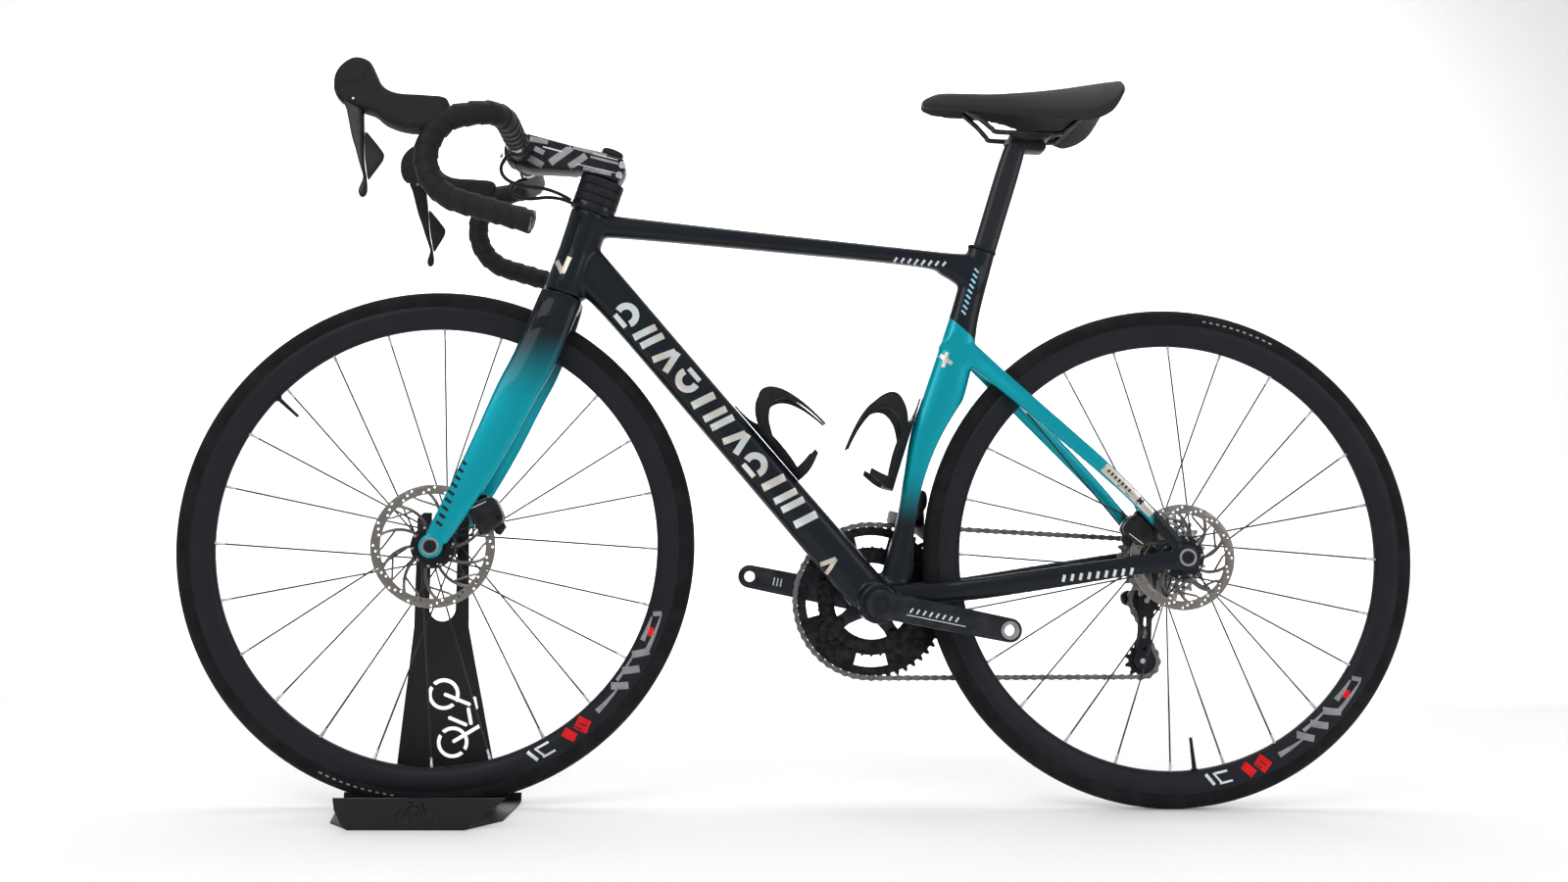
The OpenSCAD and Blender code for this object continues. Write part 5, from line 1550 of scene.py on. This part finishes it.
def make_chain():
    points = chain_line()
    length = sum((Vector(b) - Vector(a)).length for a, b in zip(points, points[1:] + points[:1]))
    curve = bpy.data.curves.new("chain_line", "CURVE")
    curve.dimensions = "3D"
    spline = curve.splines.new("POLY")
    spline.points.add(len(points) - 1)
    for point, p in zip(spline.points, points):
        point.co = (*(Vector(p) * MM), 1)
    spline.use_cyclic_u = True
    line = bpy.data.objects.new("chain_line", curve)
    bpy.context.collection.objects.link(line)
    links = [mesh_object(name, [(link_shape(outer), "chain_steel")])
             for name, outer in (("link_outer", True), ("link_inner", False))]
    group = tree_named("links_on_path", links_tree)
    modifier = line.modifiers.new("nodes", "NODES")
    modifier.node_group = group
    given = {"Outer": links[0], "Inner": links[1], "Count": 2 * round(length / PITCH / 2),
             "Finish": FINISH["chain_steel"]}
    for item in group.interface.items_tree:
        if item.in_out == "INPUT" and item.name in given:
            modifier[item.identifier] = given[item.name]
    mesh = bpy.data.meshes.new_from_object(line.evaluated_get(bpy.context.evaluated_depsgraph_get()))
    chain = bpy.data.objects.new("chain_links", mesh)
    bpy.context.collection.objects.link(chain)
    for spare in (line, *links):
        bpy.data.objects.remove(spare)
    claim(chain, "frame", ("chain",), 40)


def make_rings():
    rings = []
    place = Matrix.Translation(CRANK_AXLE)
    for name, teeth, y, bore in (("ring_big", 52, RING_Y, 66),
                                 ("ring_small", 36, INNER_RING_Y, 52)):
        windows = slot_windows(4, 74, 90, 0.34) if teeth == 52 else ()
        rings.append(sprocket(name, teeth, y, 1.2, CRANK_AXLE, "ring_dark", windows, bore, 0.4))
    tabs = []
    for i in range(4):
        a = math.radians(45 + 90 * i) - CRANK_TURN
        spot = (CRANK_AXLE.x + 55 * math.cos(a), 0, CRANK_AXLE.z + 55 * math.sin(a))
        out = Vector((math.cos(a), 0, math.sin(a)))
        for y in (RING_Y, INNER_RING_Y):
            outline = stadium((spot[0], spot[2]), (spot[0] + out.x * 16, spot[2] + out.z * 16), 8.5,
                              13)
            tabs.append((plate([outline], y - 1.15, y + 1.15), "ring_dark"))
        tabs.append((bolt(spot, INNER_RING_Y - 1, -1, 5.6, 1.6, 2.8), "alloy_black"))
        tabs.append((disc(spot, 4, INNER_RING_Y - 1.5, RING_Y + 1.6, 20), "alloy_black"))
    body = mesh_object("ring_tabs", tabs)
    claim(merged("chainring_set", rings + [body]), "crank", ("chainrings",), 32)


def arm_shape(end_hole=7.14):
    """Right arm along -X with the pedal hole, thick at the root and thin at the end."""
    outline = stadium((0, 0), (-170, 0), 18, 16, 18)
    waist = [(x, z * (1 - 0.10 * math.sin(math.pi * min(max(-x / 170, 0), 1)))) for x, z in outline]
    arm = plate([waist, circle((-170, 0), end_hole, 36)], -7.2, 7.2, 2.6)

    def slope(p):
        share = min(max(-p[0] / 170, 0), 1)
        middle = 57.5 + (68 - 57.5) * share
        return (p[0], middle + p[1] * (1.02 - 0.2 * share), p[2])

    return shifted(arm, slope)


def make_cranks():
    place = Matrix.Translation(CRANK_AXLE) @ Matrix.Rotation(CRANK_TURN, 4, "Y")
    arm = arm_shape()
    spider = [
        puffed(rounded([(x, z) for x, z in spider_outline()], 2), 1.75, 0.8, 45.4),
        disc((0, 0, 0), 20, 43.9, 52, 48, 1.2),
        disc((0, 0, 0), 12, -64.2, 52, 40),
        disc((0, 0, 0), 11, 63.5, 65.8, 40, 0.8),
    ]
    cap = bolt((0, 0, 0), 64.6, 1, 10, 1.6, 4.6)
    boss = ring_bar((-170, 0, 0), 12, 7.2, 73.2, 74.4, 40, 0.3)
    right = piece("crank_arm_right", "crank", [
        (moved(shape, place), "crank_dark") for shape in [arm, cap, *spider]]
        + [(moved(boss, place), "alloy_grey")], ("crank_right",), angle=34)
    flip = place @ Matrix.Rotation(math.pi, 4, "Y")
    arm_left = mirrored(arm)
    hub = [disc((0, 0, 0), 19, -66, -44, 48, 1.2)]
    pinch = [ring_bar((0, 0, 0), 12.2, 8.5, -67.0, -64.5, 40, 0.4),
             disc((0, 0, 0), 8.4, -66.2, -64, 32, 0.3)]
    boss_left = mirrored(boss)
    left = piece("crank_arm_left", "crank", [
        (moved(shape, flip), "crank_dark") for shape in [arm_left, *hub]]
        + [(moved(shape, place), "satin_black") for shape in pinch]
        + [(moved(boss_left, flip), "alloy_grey")], ("crank_left",), angle=34)
    axle = (CRANK_AXLE.x, CRANK_AXLE.z)
    a = -CRANK_TURN
    end = (axle[0] + 150 * math.cos(a), axle[1] + 150 * math.sin(a))
    film("crank_marks", "crank", "decal_pale", left, on_line(axle, end, [
        *[bar_stroke((38 + i * 8.6, -3.2), (41 + i * 8.6, 3.2), 1.1) for i in range(8)],
        bar_stroke((34, -6.5), (112, -6.5), 0.5, 16)]), (-1,), 0.15, 3)
    far = (axle[0] - 150 * math.cos(a), axle[1] - 150 * math.sin(a))
    film("crank_marks_right", "crank", "decal_pale", right, on_line(far, axle, [
        *[bar_stroke((14 + i * 5, -5.5), (14 + i * 5, 5.5), 0.7) for i in range(3)]]), (-1, 1),
         0.15, 3)


def spider_outline():
    out = []
    for i in range(4):
        a = math.radians(45 + 90 * i)
        for da, r in ((-0.62, 24), (-0.2, 44), (-0.16, 60), (0.0, 65), (0.16, 60), (0.2, 44),
                      (0.62, 24)):
            out.append((r * math.cos(a + da), r * math.sin(a + da)))
    return out


def make_front_derailleur():
    place = Matrix.Translation(CRANK_AXLE)
    r0, r1 = pitch_r(52) + 6, pitch_r(52) + 22
    arcs = [math.radians(37 + 42 * i / 12) for i in range(13)]
    outline = [(r0 * math.cos(a), r0 * math.sin(a)) for a in arcs] + [
        (r1 * math.cos(a), r1 * math.sin(a)) for a in reversed(arcs)]
    cage = [(puffed(outline, 0.75, 0.4, y + 0.75),
             "alloy_grey") for y in (RING_Y - 6.5, RING_Y + 6.8)]
    bridge = [(r1 * math.cos(a), r1 * math.sin(a)) for a in arcs[8:]]
    roof = skin([[(x, RING_Y - 6.3, z), (x * 0.985, RING_Y - 6.3, z * 0.985),
                  (x * 0.985, RING_Y + 8.2, z * 0.985), (x, RING_Y + 8.2, z)] for x, z in bridge])
    link = puffed(rounded([(50, 105), (68, 103), (70, 118), (66, 142), (54, 143), (50, 125)], 3),
                  1.6, 0.7, 28.8)
    arm = puffed(rounded([(50, 104), (66, 104), (66, 112), (50, 112)], 2), 7, 1.2, 34.2)
    piece("front_mech_cage", "front_derailleur_cage", [
        (moved(shape, place), finish) for shape, finish in cage + [(roof, "alloy_grey"), (link, "alloy_black"),
                                                                    (arm, "alloy_black")]],
        ("front_derailleur_cage",), angle=32)
    body = puffed(rounded([(38, 110), (50, 108), (66, 122), (72, 134), (70, 150), (58, 152),
                           (46, 144), (38, 132)], 3),
                  2.2, 1.0, 17.5)
    pin = disc((60, 0, 134), 3, 16, 34, 24)
    piece("front_mech_mount", "frame", [
        (moved(body, place), "alloy_black"), (moved(pin, place), "steel_bright"),
        (moved(bolt((60, 0, 134), 19.4, 1, 5, 2.6, 2.2), place), "alloy_grey")],
        ("front_derailleur",), angle=35)


def make_rear_derailleur():
    g, t, ax = (GUIDE.x, GUIDE.z), (TENSION.x, TENSION.z), (REAR_AXLE.x, REAR_AXLE.z)
    knuckle = (g[0] + 3, g[1] + 20)
    hanger = puffed(stadium(ax, knuckle, 11, 11.5, 12), 2.2, 0.8, COG_Y + 14.8)
    barrel = disc((knuckle[0], 0, knuckle[1]), 12, COG_Y + 6.2, COG_Y + 22, 40, 2.0)
    cap = bolt((knuckle[0], 0, knuckle[1]), COG_Y + 21.0, 1, 7, 2.0, 3.2)
    piece("rear_mech_mount", "frame", [
        (hanger, "satin_black"), (barrel, "gloss_black"), (cap, "satin_black")],
        ("rear_derailleur",), angle=36)
    body = rounded([(g[0] - 31, g[1] + 9), (g[0] - 22, g[1] + 14), (g[0] - 10, g[1] + 10),
                    (g[0] + 6, g[1] + 10),
                    (g[0] + 12, g[1] + 1), (g[0] + 8, g[1] - 9), (g[0] - 4, g[1] - 12.5),
                    (g[0] - 18, g[1] - 10),
                    (g[0] - 29, g[1] - 6), (g[0] - 32.5, g[1] + 2)], 3)
    piece("rear_mech_link", "derailleur_link", [
        (puffed(body, 5.2, 3.0, COG_Y + 11.8), "gloss_black"),
        (puffed(inset(body, 5), 0.5, 0.2, COG_Y + 17.0), "satin_black"),
        (bolt((g[0], 0, g[1]), COG_Y + 16.2, 1, 6.2, 1.6, 2.6), "satin_black"),
        (bolt((g[0] - 23, 0, g[1] + 3), COG_Y + 16.0, 1, 3.2, 1.6, 1.4), "steel_bright")],
        ("derailleur_link",), angle=36)
    mid = ((g[0] + t[0]) / 2, (g[1] + t[1]) / 2)
    outline = rounded([(g[0] - 12.5, g[1] + 2), (g[0] - 6, g[1] + 11.5), (g[0] + 6, g[1] + 11.5),
                       (g[0] + 12.5, g[1]), (g[0] + 8, g[1] - 24), (mid[0] + 9.5, mid[1] - 6),
                       (t[0] + 12.5, t[1] + 16),
                       (t[0] + 12.8, t[1] - 3), (t[0] + 5, t[1] - 12), (t[0] - 6, t[1] - 11.6),
                       (t[0] - 12.6, t[1] - 2), (t[0] - 9, t[1] + 20), (mid[0] - 7, mid[1])], 3)
    holes = [stadium((mid[0] + 1, mid[1] - 8), (mid[0] + 2, mid[1] + 16), 3.4, steps=8),
             circle((t[0] + 2, t[1] + 17), 3.0, 16)]
    parts = []
    for y in (COG_Y - 5.5, COG_Y + 4.4):
        parts.append((plate([outline, *holes], y, y + 1.5, 0.3), "satin_black"))
    for p in (g, t):
        parts.append((disc((p[0], 0, p[1]), 2.5, COG_Y - 5.5, COG_Y + 5.8, 20), "steel_bright"))
        parts.append((bolt((p[0], 0, p[1]), COG_Y + 5.7, 1, 3.6, 1.2, 1.6), "steel_bright"))
        parts.append((disc((p[0], 0, p[1]), 3.8, COG_Y - 6.1, COG_Y - 5.2, 20, 0.3),
                      "steel_bright"))
    parts.append((disc((g[0], 0, g[1]), 3, COG_Y + 5, COG_Y + 16, 20), "steel_bright"))
    piece("rear_mech_cage", "derailleur_cage", parts, ("derailleur_cage",), angle=32)
    for name, spot in (("guide_pulley", GUIDE), ("tension_pulley", TENSION)):
        wheel = sprocket(name + "_wheel", 11, COG_Y, 1.1, Vector((spot.x, 0, spot.z)),
                         "moulded_black",
                         slot_windows(5, 8.5, 13, 0.55), 2.6)
        claim(wheel, name, (name,), 32)


# ---------------------------------------------------------------- seat

def make_seatpost():
    rings = []
    for h in (-118, -60, 0, 60, 110, 138, 146, 150):
        fade = max(0, (h - 126) / 24)
        rings.append((0, 0, h, 0, 32 - 3 * fade, 20 + 4 * fade))
    post = moved(loft(rings, 56, 6, 3.0), POST)
    head = puffed(stadium((POST_HEAD_X - 2, RAIL.z - 13.5), (POST_HEAD_X + 33, RAIL.z - 14.5), 8,
                          7.4), 13.5, 2.4)
    shapes = [(post, "post_carbon"), (head, "satin_black")]
    piece("post_shaft", "seatpost", shapes, ("seatpost",), angle=35)
    x0, x1 = POST_HEAD_X - 8, POST_HEAD_X + 38
    lower = puffed(rounded([(x0, RAIL.z - 8.6), (x1, RAIL.z - 8.6), (x1, RAIL.z - 1),
                            (x0, RAIL.z - 1)], 2), 27.5, 1.6)
    upper = puffed(rounded([(x0 + 3, RAIL.z + 0.6), (x1 - 3, RAIL.z + 0.6), (x1 - 5, RAIL.z + 6),
                            (x0 + 5, RAIL.z + 6)], 2),
                   11.5, 1.2)
    clamps = [(lower, "satin_black"), (upper, "alloy_black")]
    for x in (x0 + 6, x1 - 6):
        stud = upright([(0, -16), (2.6, -16), (2.6, 8), (0, 8)], 20)
        head = upright([(0, 6), (4.4, 6), (4.6, 6.6), (4.4, 8.6), (0, 8.6)], 20)
        clamps.append((moved(stud, Matrix.Translation((x, 0, RAIL.z - 1))), "steel_bright"))
        clamps.append((moved(head, Matrix.Translation((x, 0, RAIL.z - 2))), "steel_bright"))
    piece("rail_clamp", "seatpost", clamps, ("saddle_clamp",), angle=35)


SADDLE_ROWS = [(0, 0.13, 45, 37), (0.03, 0.2, 51, 33), (0.12, 0.27, 58, 29), (0.37, 0.33, 60, 26),
               (0.55, 0.52, 62, 18), (0.72, 0.86, 66, 8), (0.82, 1, 70, 5), (0.93, 0.97, 75, 20),
               (1, 0.85, 77, 50)]


def saddle_rings(rows, sides=64):
    rings = []
    for share, half, top, bottom in rows:
        w = half * 71
        ring = []
        for k in range(sides):
            a = -TURN * k / sides
            y = w * bent_power(math.cos(a), 2 / 0.7)
            crown = top - (top - bottom) * 0.75 * abs(y / w) ** 3
            belly = bottom + (crown - bottom - 7) * (1 - 0.85 * abs(y / w) ** 2) * 0.5
            ring.append((RAIL.x - 147 + share * 268, y,
                         RAIL.z + (max(crown, belly + 3) if math.sin(a) > 0 else belly)))
        rings.append(ring)
    return rings


def make_saddle():
    dense = smooth_path(SADDLE_ROWS, 9)
    pad = mesh_object("saddle_pad", [(skin(saddle_rings(dense)), "saddle_cover")])
    add_modifier(pad, "REMESH", mode="VOXEL", voxel_size=1.6 * MM, use_smooth_shade=True)
    add_modifier(pad, "SMOOTH", factor=0.5, iterations=5)
    baked(pad)
    middle = RAIL.x * MM
    for v in pad.data.vertices:
        # A shallow relief channel runs down the middle of the back half.
        x, y, z = v.co
        along = max(0.0, 1 - ((x - middle + 0.02) / 0.105) ** 2)
        across = max(0.0, 1 - (y / 0.013) ** 2)
        if z > (RAIL.z + 45) * MM:
            v.co.z -= 0.0026 * along * across
    claim(pad, "saddle", ("saddle",), angle=80)
    route = [(-86, 13, 32), (-66, 17, 17), (-52, 21, 4), (-42, 22, 0), (36, 22, 0), (49, 23, 5),
             (74, 28, 28)]
    line = even_path(smooth_path([(RAIL.x + x, y, RAIL.z + z) for x, y, z in route], 8), 3)
    piece("rail_pair", "saddle", [(both_sides(sweep(line, 3.5, 24)), "rail_dark")],
          ("saddle_rails",), angle=80)


# ---------------------------------------------------------------- bottle cages

def cage_shapes():
    """One cage: z runs up the tube, x away from it, the bottle's middle at x = 40."""
    spine = []
    for h, half in ((0, 36), (10, 36), (30, 42), (60, 44), (84, 38), (104, 20), (120, 11),
                    (132, 9)):
        row = []
        for k in range(9):
            a = math.radians(half) * (k / 4 - 1)
            row.append((40 - 38.6 * math.cos(a), 38.6 * math.sin(a), h))
        back = [(40 - (40 - x) * 1.035, y * 1.035, z) for x, y, z in reversed(row)]
        spine.append(row + back)
    shapes = [skin([tuple(r) for r in smooth_rings(spine, 4)])]
    arm = [(26, 64, 13), (44, 84, 13), (62, 101, 12), (84, 112, 12), (104, 110, 11), (124, 97, 9),
           (142, 74, 7), (154, 50, 4), (160, 36, 1.5)]
    foot = [(20, 9, 8), (45, 8, 7.5), (68, 10, 6), (92, 15, 3.5)]
    for rows in (arm, foot):
        rings = []
        for angle, h, half in smooth_path(rows, 5):
            a = math.radians(angle)
            ring = []
            for share, r in ((-1, 37.6), (-0.5, 37.2), (0.5, 37.2), (1, 37.6), (1, 39.6),
                             (0.5, 40.4),
                             (-0.5, 40.4), (-1, 39.6)):
                ring.append((40 - r * math.cos(a), r * math.sin(a), h + half * share))
            rings.append(ring)
        shapes += [skin(rings), mirrored(skin(rings))]
    base = puffed([(1, 0.4), (16, 0.4), (16, 3), (1, 3)], 11, 0.4)
    return shapes + [base]


def smooth_rings(rings, per):
    flat = smooth_path([tuple(c for p in ring for c in p) for ring in rings], per)
    return [[tuple(row[i:i + 3]) for i in range(0, len(row), 3)] for row in flat]


def make_cages():
    down = DOWN_FRONT.lerp(CRANK_AXLE, 0.69)
    lean = math.radians(lean_of(DOWN_FRONT, CRANK_AXLE) + 180)
    place_down = Matrix.Translation(down) @ Matrix.Rotation(lean, 4,
                                                            "Y") @ Matrix.Translation((27.8, 0, 0))
    place_seat = (Matrix.Translation(on_seat(150)) @ Matrix.Rotation(SEAT_LEAN, 4, "Y")
                  @ Matrix.Translation((-21, 0, 0)) @ Matrix.Diagonal((-1, 1, 1, 1)))
    shapes = joined(cage_shapes())
    parts = []
    for place in (place_down, place_seat):
        parts.append((moved(shapes, place), "moulded_black"))
        for h in (34, 98):
            head = bolt((0, 0, 0), 0, 1, 4.4, 2.4, 2.0)
            turn = Matrix.Translation((1.8, 0, h)) @ Matrix.Rotation(-math.pi / 2, 4, "Z")
            parts.append((moved(head, place @ turn), "steel_bright"))
    work = mesh_object("cage_pair", [(shape, finish) for shape, finish in parts])
    claim(work, "frame", ("bottle_cages",), 50)


# ---------------------------------------------------------------- carried-over parts and stage

def make_stand():
    """The stand and the small hidden parts keep their own meshes and get real finishes."""
    for node, finish in (
        ("stand", "powder_black"), ("headset_bearings", "steel_bright"),
        ("front_hub_bearings", "steel_bright"), ("rear_hub_bearings", "steel_bright"),
        ("crank_bearings", "satin_black"), ("front_pad_outer", "brake_pad"),
        ("front_pad_inner", "brake_pad"), ("rear_pad_outer", "brake_pad"),
        ("rear_pad_inner", "brake_pad"),
    ):
        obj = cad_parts[node]
        slots = obj.material_slots
        if not slots:
            obj.data.materials.append(FINISH[finish])
        for slot in slots:
            slot.material = FINISH[finish]


def make_stage(settings):
    """Pale curved floor, soft lights, camera."""
    profile = [(-3.2, 0.0), (2.2, 0.0)]
    for i in range(1, 13):
        a = math.radians(90 * i / 12)
        profile.append((2.2 + 1.2 * math.sin(a), 1.2 - 1.2 * math.cos(a)))
    profile.append((3.4, 5.0))
    verts, faces = [], []
    for y, z in profile:
        verts += [(-7.0, y, z), (7.0, y, z)]
    for i in range(len(profile) - 1):
        faces.append((2 * i, 2 * i + 1, 2 * i + 3, 2 * i + 2))
    mesh = bpy.data.meshes.new("studio_sweep")
    mesh.from_pydata(verts, [], faces)
    mesh.materials.append(FINISH["studio_floor"])
    for polygon in mesh.polygons:
        polygon.use_smooth = True
    floor = bpy.data.objects.new("studio_sweep", mesh)
    bpy.context.collection.objects.link(floor)
    floor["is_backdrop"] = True

    world = bpy.data.worlds.new("soft_studio")
    bpy.context.scene.world = world
    world.use_nodes = True
    t = Tree(world.node_tree)
    back = world.node_tree.nodes["Background"]
    back.inputs["Color"].default_value = (0.96, 0.98, 1.0, 1.0)
    back.inputs["Strength"].default_value = settings.world_strength

    for name, spot, aim, size, power in (
        ("key_softbox", (-1.6, -2.6, 2.6), (0, 0, 0.45), (2.4, 1.8), settings.key_power),
        ("fill_softbox", (2.4, -2.2, 1.5), (0.1, 0, 0.5), (1.8, 1.8), settings.key_power * 0.45),
        ("top_softbox", (0.0, 0.6, 3.2), (0, 0, 0.4), (3.0, 1.6), settings.key_power * 0.8),
        ("back_wash", (0.0, 1.9, 1.6), (0, 3.6, 0.9), (4.0, 1.6), settings.key_power * 2.0),
    ):
        data = bpy.data.lights.new(name, "AREA")
        data.shape = "RECTANGLE"
        data.size, data.size_y = size
        data.energy = power
        lamp = bpy.data.objects.new(name, data)
        lamp.location = spot
        lamp.rotation_euler = (Vector(aim) - Vector(spot)).to_track_quat("-Z", "Y").to_euler()
        bpy.context.collection.objects.link(lamp)

    scene = bpy.context.scene
    scene.view_settings.view_transform = "Standard"
    data = bpy.data.cameras.new("camera")
    data.sensor_width = 36
    data.lens = settings.lens
    camera = bpy.data.objects.new("camera", data)
    bpy.context.collection.objects.link(camera)
    scene.camera = camera
    yaw, pitch, roll = math.radians(-3.42), math.radians(4.13), math.radians(0.74)
    turn = Matrix.Rotation(yaw, 3, "Z")
    right, ahead, up = turn @ X, turn @ Y, Z
    ahead, up = (math.cos(pitch) * ahead + math.sin(pitch) * up,
                 -math.sin(pitch) * ahead + math.cos(pitch) * up)
    right, up = math.cos(roll) * right + math.sin(roll) * up, -math.sin(roll) * right + math.cos(roll) * up
    matrix = Matrix((right, up, -ahead)).transposed().to_4x4()
    matrix.translation = (-0.1488, -1.8913, 0.3505)
    camera.matrix_world = matrix


# ---------------------------------------------------------------- add-on

class BicyclePaint(bpy.types.PropertyGroup):
    """Colours of the frame and fork."""
    frame_black: FloatVectorProperty(name="Frame black", description="Main colour of the frame",
                                     default=(0.0025, 0.0040, 0.0065), subtype="COLOR", min=0,
                                     max=1)
    teal: FloatVectorProperty(name="Teal", description="Second colour of the frame and fork",
                              default=(0.0, 0.34, 0.42), subtype="COLOR", min=0, max=1)


class BicycleBuild(bpy.types.PropertyGroup):
    """Fineness of the frame and strength of the studio."""
    frame_voxel: FloatProperty(name="Frame fineness", default=2.3, min=1.5, max=6.0,
                               description="Cell size in millimetres that fuses the frame tubes")
    fork_voxel: FloatProperty(name="Fork fineness", default=1.7, min=1.2, max=6.0,
                              description="Cell size in millimetres that fuses the fork")
    key_power: FloatProperty(name="Key light", default=46.0, min=0.0, subtype="POWER",
                             description="Power of the main soft light")
    world_strength: FloatProperty(name="World", default=0.55, min=0.0,
                                  description="Strength of the surrounding light")
    lens: FloatProperty(name="Lens", default=32.33, min=10.0, unit="CAMERA",
                        description="Focal length of the camera")


class BICYCLE_OT_finishes(bpy.types.Operator):
    """Make every material."""
    bl_idname = "bicycle.finishes"
    bl_label = "Finishes"

    def execute(self, context):
        make_finishes(context.scene.bicycle_paint)
        return {"FINISHED"}


class BICYCLE_OT_stage(bpy.types.Operator):
    """Make the floor, lights and camera."""
    bl_idname = "bicycle.stage"
    bl_label = "Stage"

    def execute(self, context):
        make_stage(context.scene.bicycle_build)
        return {"FINISHED"}


class BICYCLE_OT_hoses(bpy.types.Operator):
    """Lay the control hoses."""
    bl_idname = "bicycle.hoses"
    bl_label = "Hoses"

    def execute(self, context):
        make_hoses()
        return {"FINISHED"}


class BICYCLE_OT_frame(bpy.types.Operator):
    """Build the frame and its graphics."""
    bl_idname = "bicycle.frame"
    bl_label = "Frame"

    def execute(self, context):
        make_frame(context.scene.bicycle_build.frame_voxel)
        return {"FINISHED"}


class BICYCLE_OT_fork(bpy.types.Operator):
    """Build the fork."""
    bl_idname = "bicycle.fork"
    bl_label = "Fork"

    def execute(self, context):
        make_fork(context.scene.bicycle_build.fork_voxel)
        return {"FINISHED"}


class BICYCLE_OT_handlebar(bpy.types.Operator):
    """Build the handlebar, its tape, the hoods and the levers."""
    bl_idname = "bicycle.handlebar"
    bl_label = "Handlebar and levers"

    def execute(self, context):
        make_handlebar()
        make_levers()
        return {"FINISHED"}


class BICYCLE_OT_stem(bpy.types.Operator):
    """Build the stem and spacers."""
    bl_idname = "bicycle.stem"
    bl_label = "Stem"

    def execute(self, context):
        make_stem()
        return {"FINISHED"}


class BICYCLE_OT_wheels(bpy.types.Operator):
    """Build both wheels."""
    bl_idname = "bicycle.wheels"
    bl_label = "Wheels"

    def execute(self, context):
        for which in ("front", "rear"):
            make_wheel(which)
        return {"FINISHED"}


class BICYCLE_OT_brakes(bpy.types.Operator):
    """Build the calipers and axles."""
    bl_idname = "bicycle.brakes"
    bl_label = "Brakes and axles"

    def execute(self, context):
        make_brakes()
        return {"FINISHED"}


class BICYCLE_OT_drive(bpy.types.Operator):
    """Build the cranks, rings, cogs, chain and derailleurs."""
    bl_idname = "bicycle.drive"
    bl_label = "Drive"

    def execute(self, context):
        make_cassette()
        make_rings()
        make_cranks()
        make_chain()
        make_front_derailleur()
        make_rear_derailleur()
        return {"FINISHED"}


class BICYCLE_OT_seat(bpy.types.Operator):
    """Build the seat post and saddle."""
    bl_idname = "bicycle.seat"
    bl_label = "Seat"

    def execute(self, context):
        make_seatpost()
        make_saddle()
        return {"FINISHED"}


class BICYCLE_OT_cages(bpy.types.Operator):
    """Build the bottle cages."""
    bl_idname = "bicycle.cages"
    bl_label = "Bottle cages"

    def execute(self, context):
        make_cages()
        return {"FINISHED"}


class BICYCLE_OT_stand(bpy.types.Operator):
    """Give the stand and the hidden parts their finishes."""
    bl_idname = "bicycle.stand"
    bl_label = "Stand"

    def execute(self, context):
        make_stand()
        return {"FINISHED"}


OPERATORS = (
    BICYCLE_OT_finishes, BICYCLE_OT_stage, BICYCLE_OT_hoses, BICYCLE_OT_frame, BICYCLE_OT_fork,
    BICYCLE_OT_handlebar, BICYCLE_OT_stem, BICYCLE_OT_wheels, BICYCLE_OT_brakes, BICYCLE_OT_drive,
    BICYCLE_OT_seat, BICYCLE_OT_cages, BICYCLE_OT_stand,
)


class BICYCLE_PT_panel(bpy.types.Panel):
    """Lists the pieces of the bicycle in the sidebar."""
    bl_idname = "BICYCLE_PT_panel"
    bl_label = "Bicycle on stand"
    bl_space_type = "VIEW_3D"
    bl_region_type = "UI"
    bl_category = "Bicycle"

    def draw(self, context):
        for operator in OPERATORS:
            self.layout.operator(operator.bl_idname)
        for group in (context.scene.bicycle_paint, context.scene.bicycle_build):
            for name in group.__annotations__:
                self.layout.prop(group, name)


CLASSES = (BicyclePaint, BicycleBuild, *OPERATORS, BICYCLE_PT_panel)


def register():
    for cls in CLASSES:
        bpy.utils.register_class(cls)
    bpy.types.Scene.bicycle_paint = PointerProperty(type=BicyclePaint)
    bpy.types.Scene.bicycle_build = PointerProperty(type=BicycleBuild)


def unregister():
    del bpy.types.Scene.bicycle_paint
    del bpy.types.Scene.bicycle_build
    for cls in reversed(CLASSES):
        bpy.utils.unregister_class(cls)


def plain(value):
    """Nested vectors as nested lists of numbers."""
    return [plain(v) for v in value] if hasattr(value, "__len__") else float(value)


def main():
    register()
    for operator in OPERATORS:
        area, name = operator.bl_idname.split(".")
        getattr(getattr(bpy.ops, area), name)()
    {"cad": plain(CAD_BOX), "visual": plain(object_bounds())}


if __name__ == "__main__":
    main()
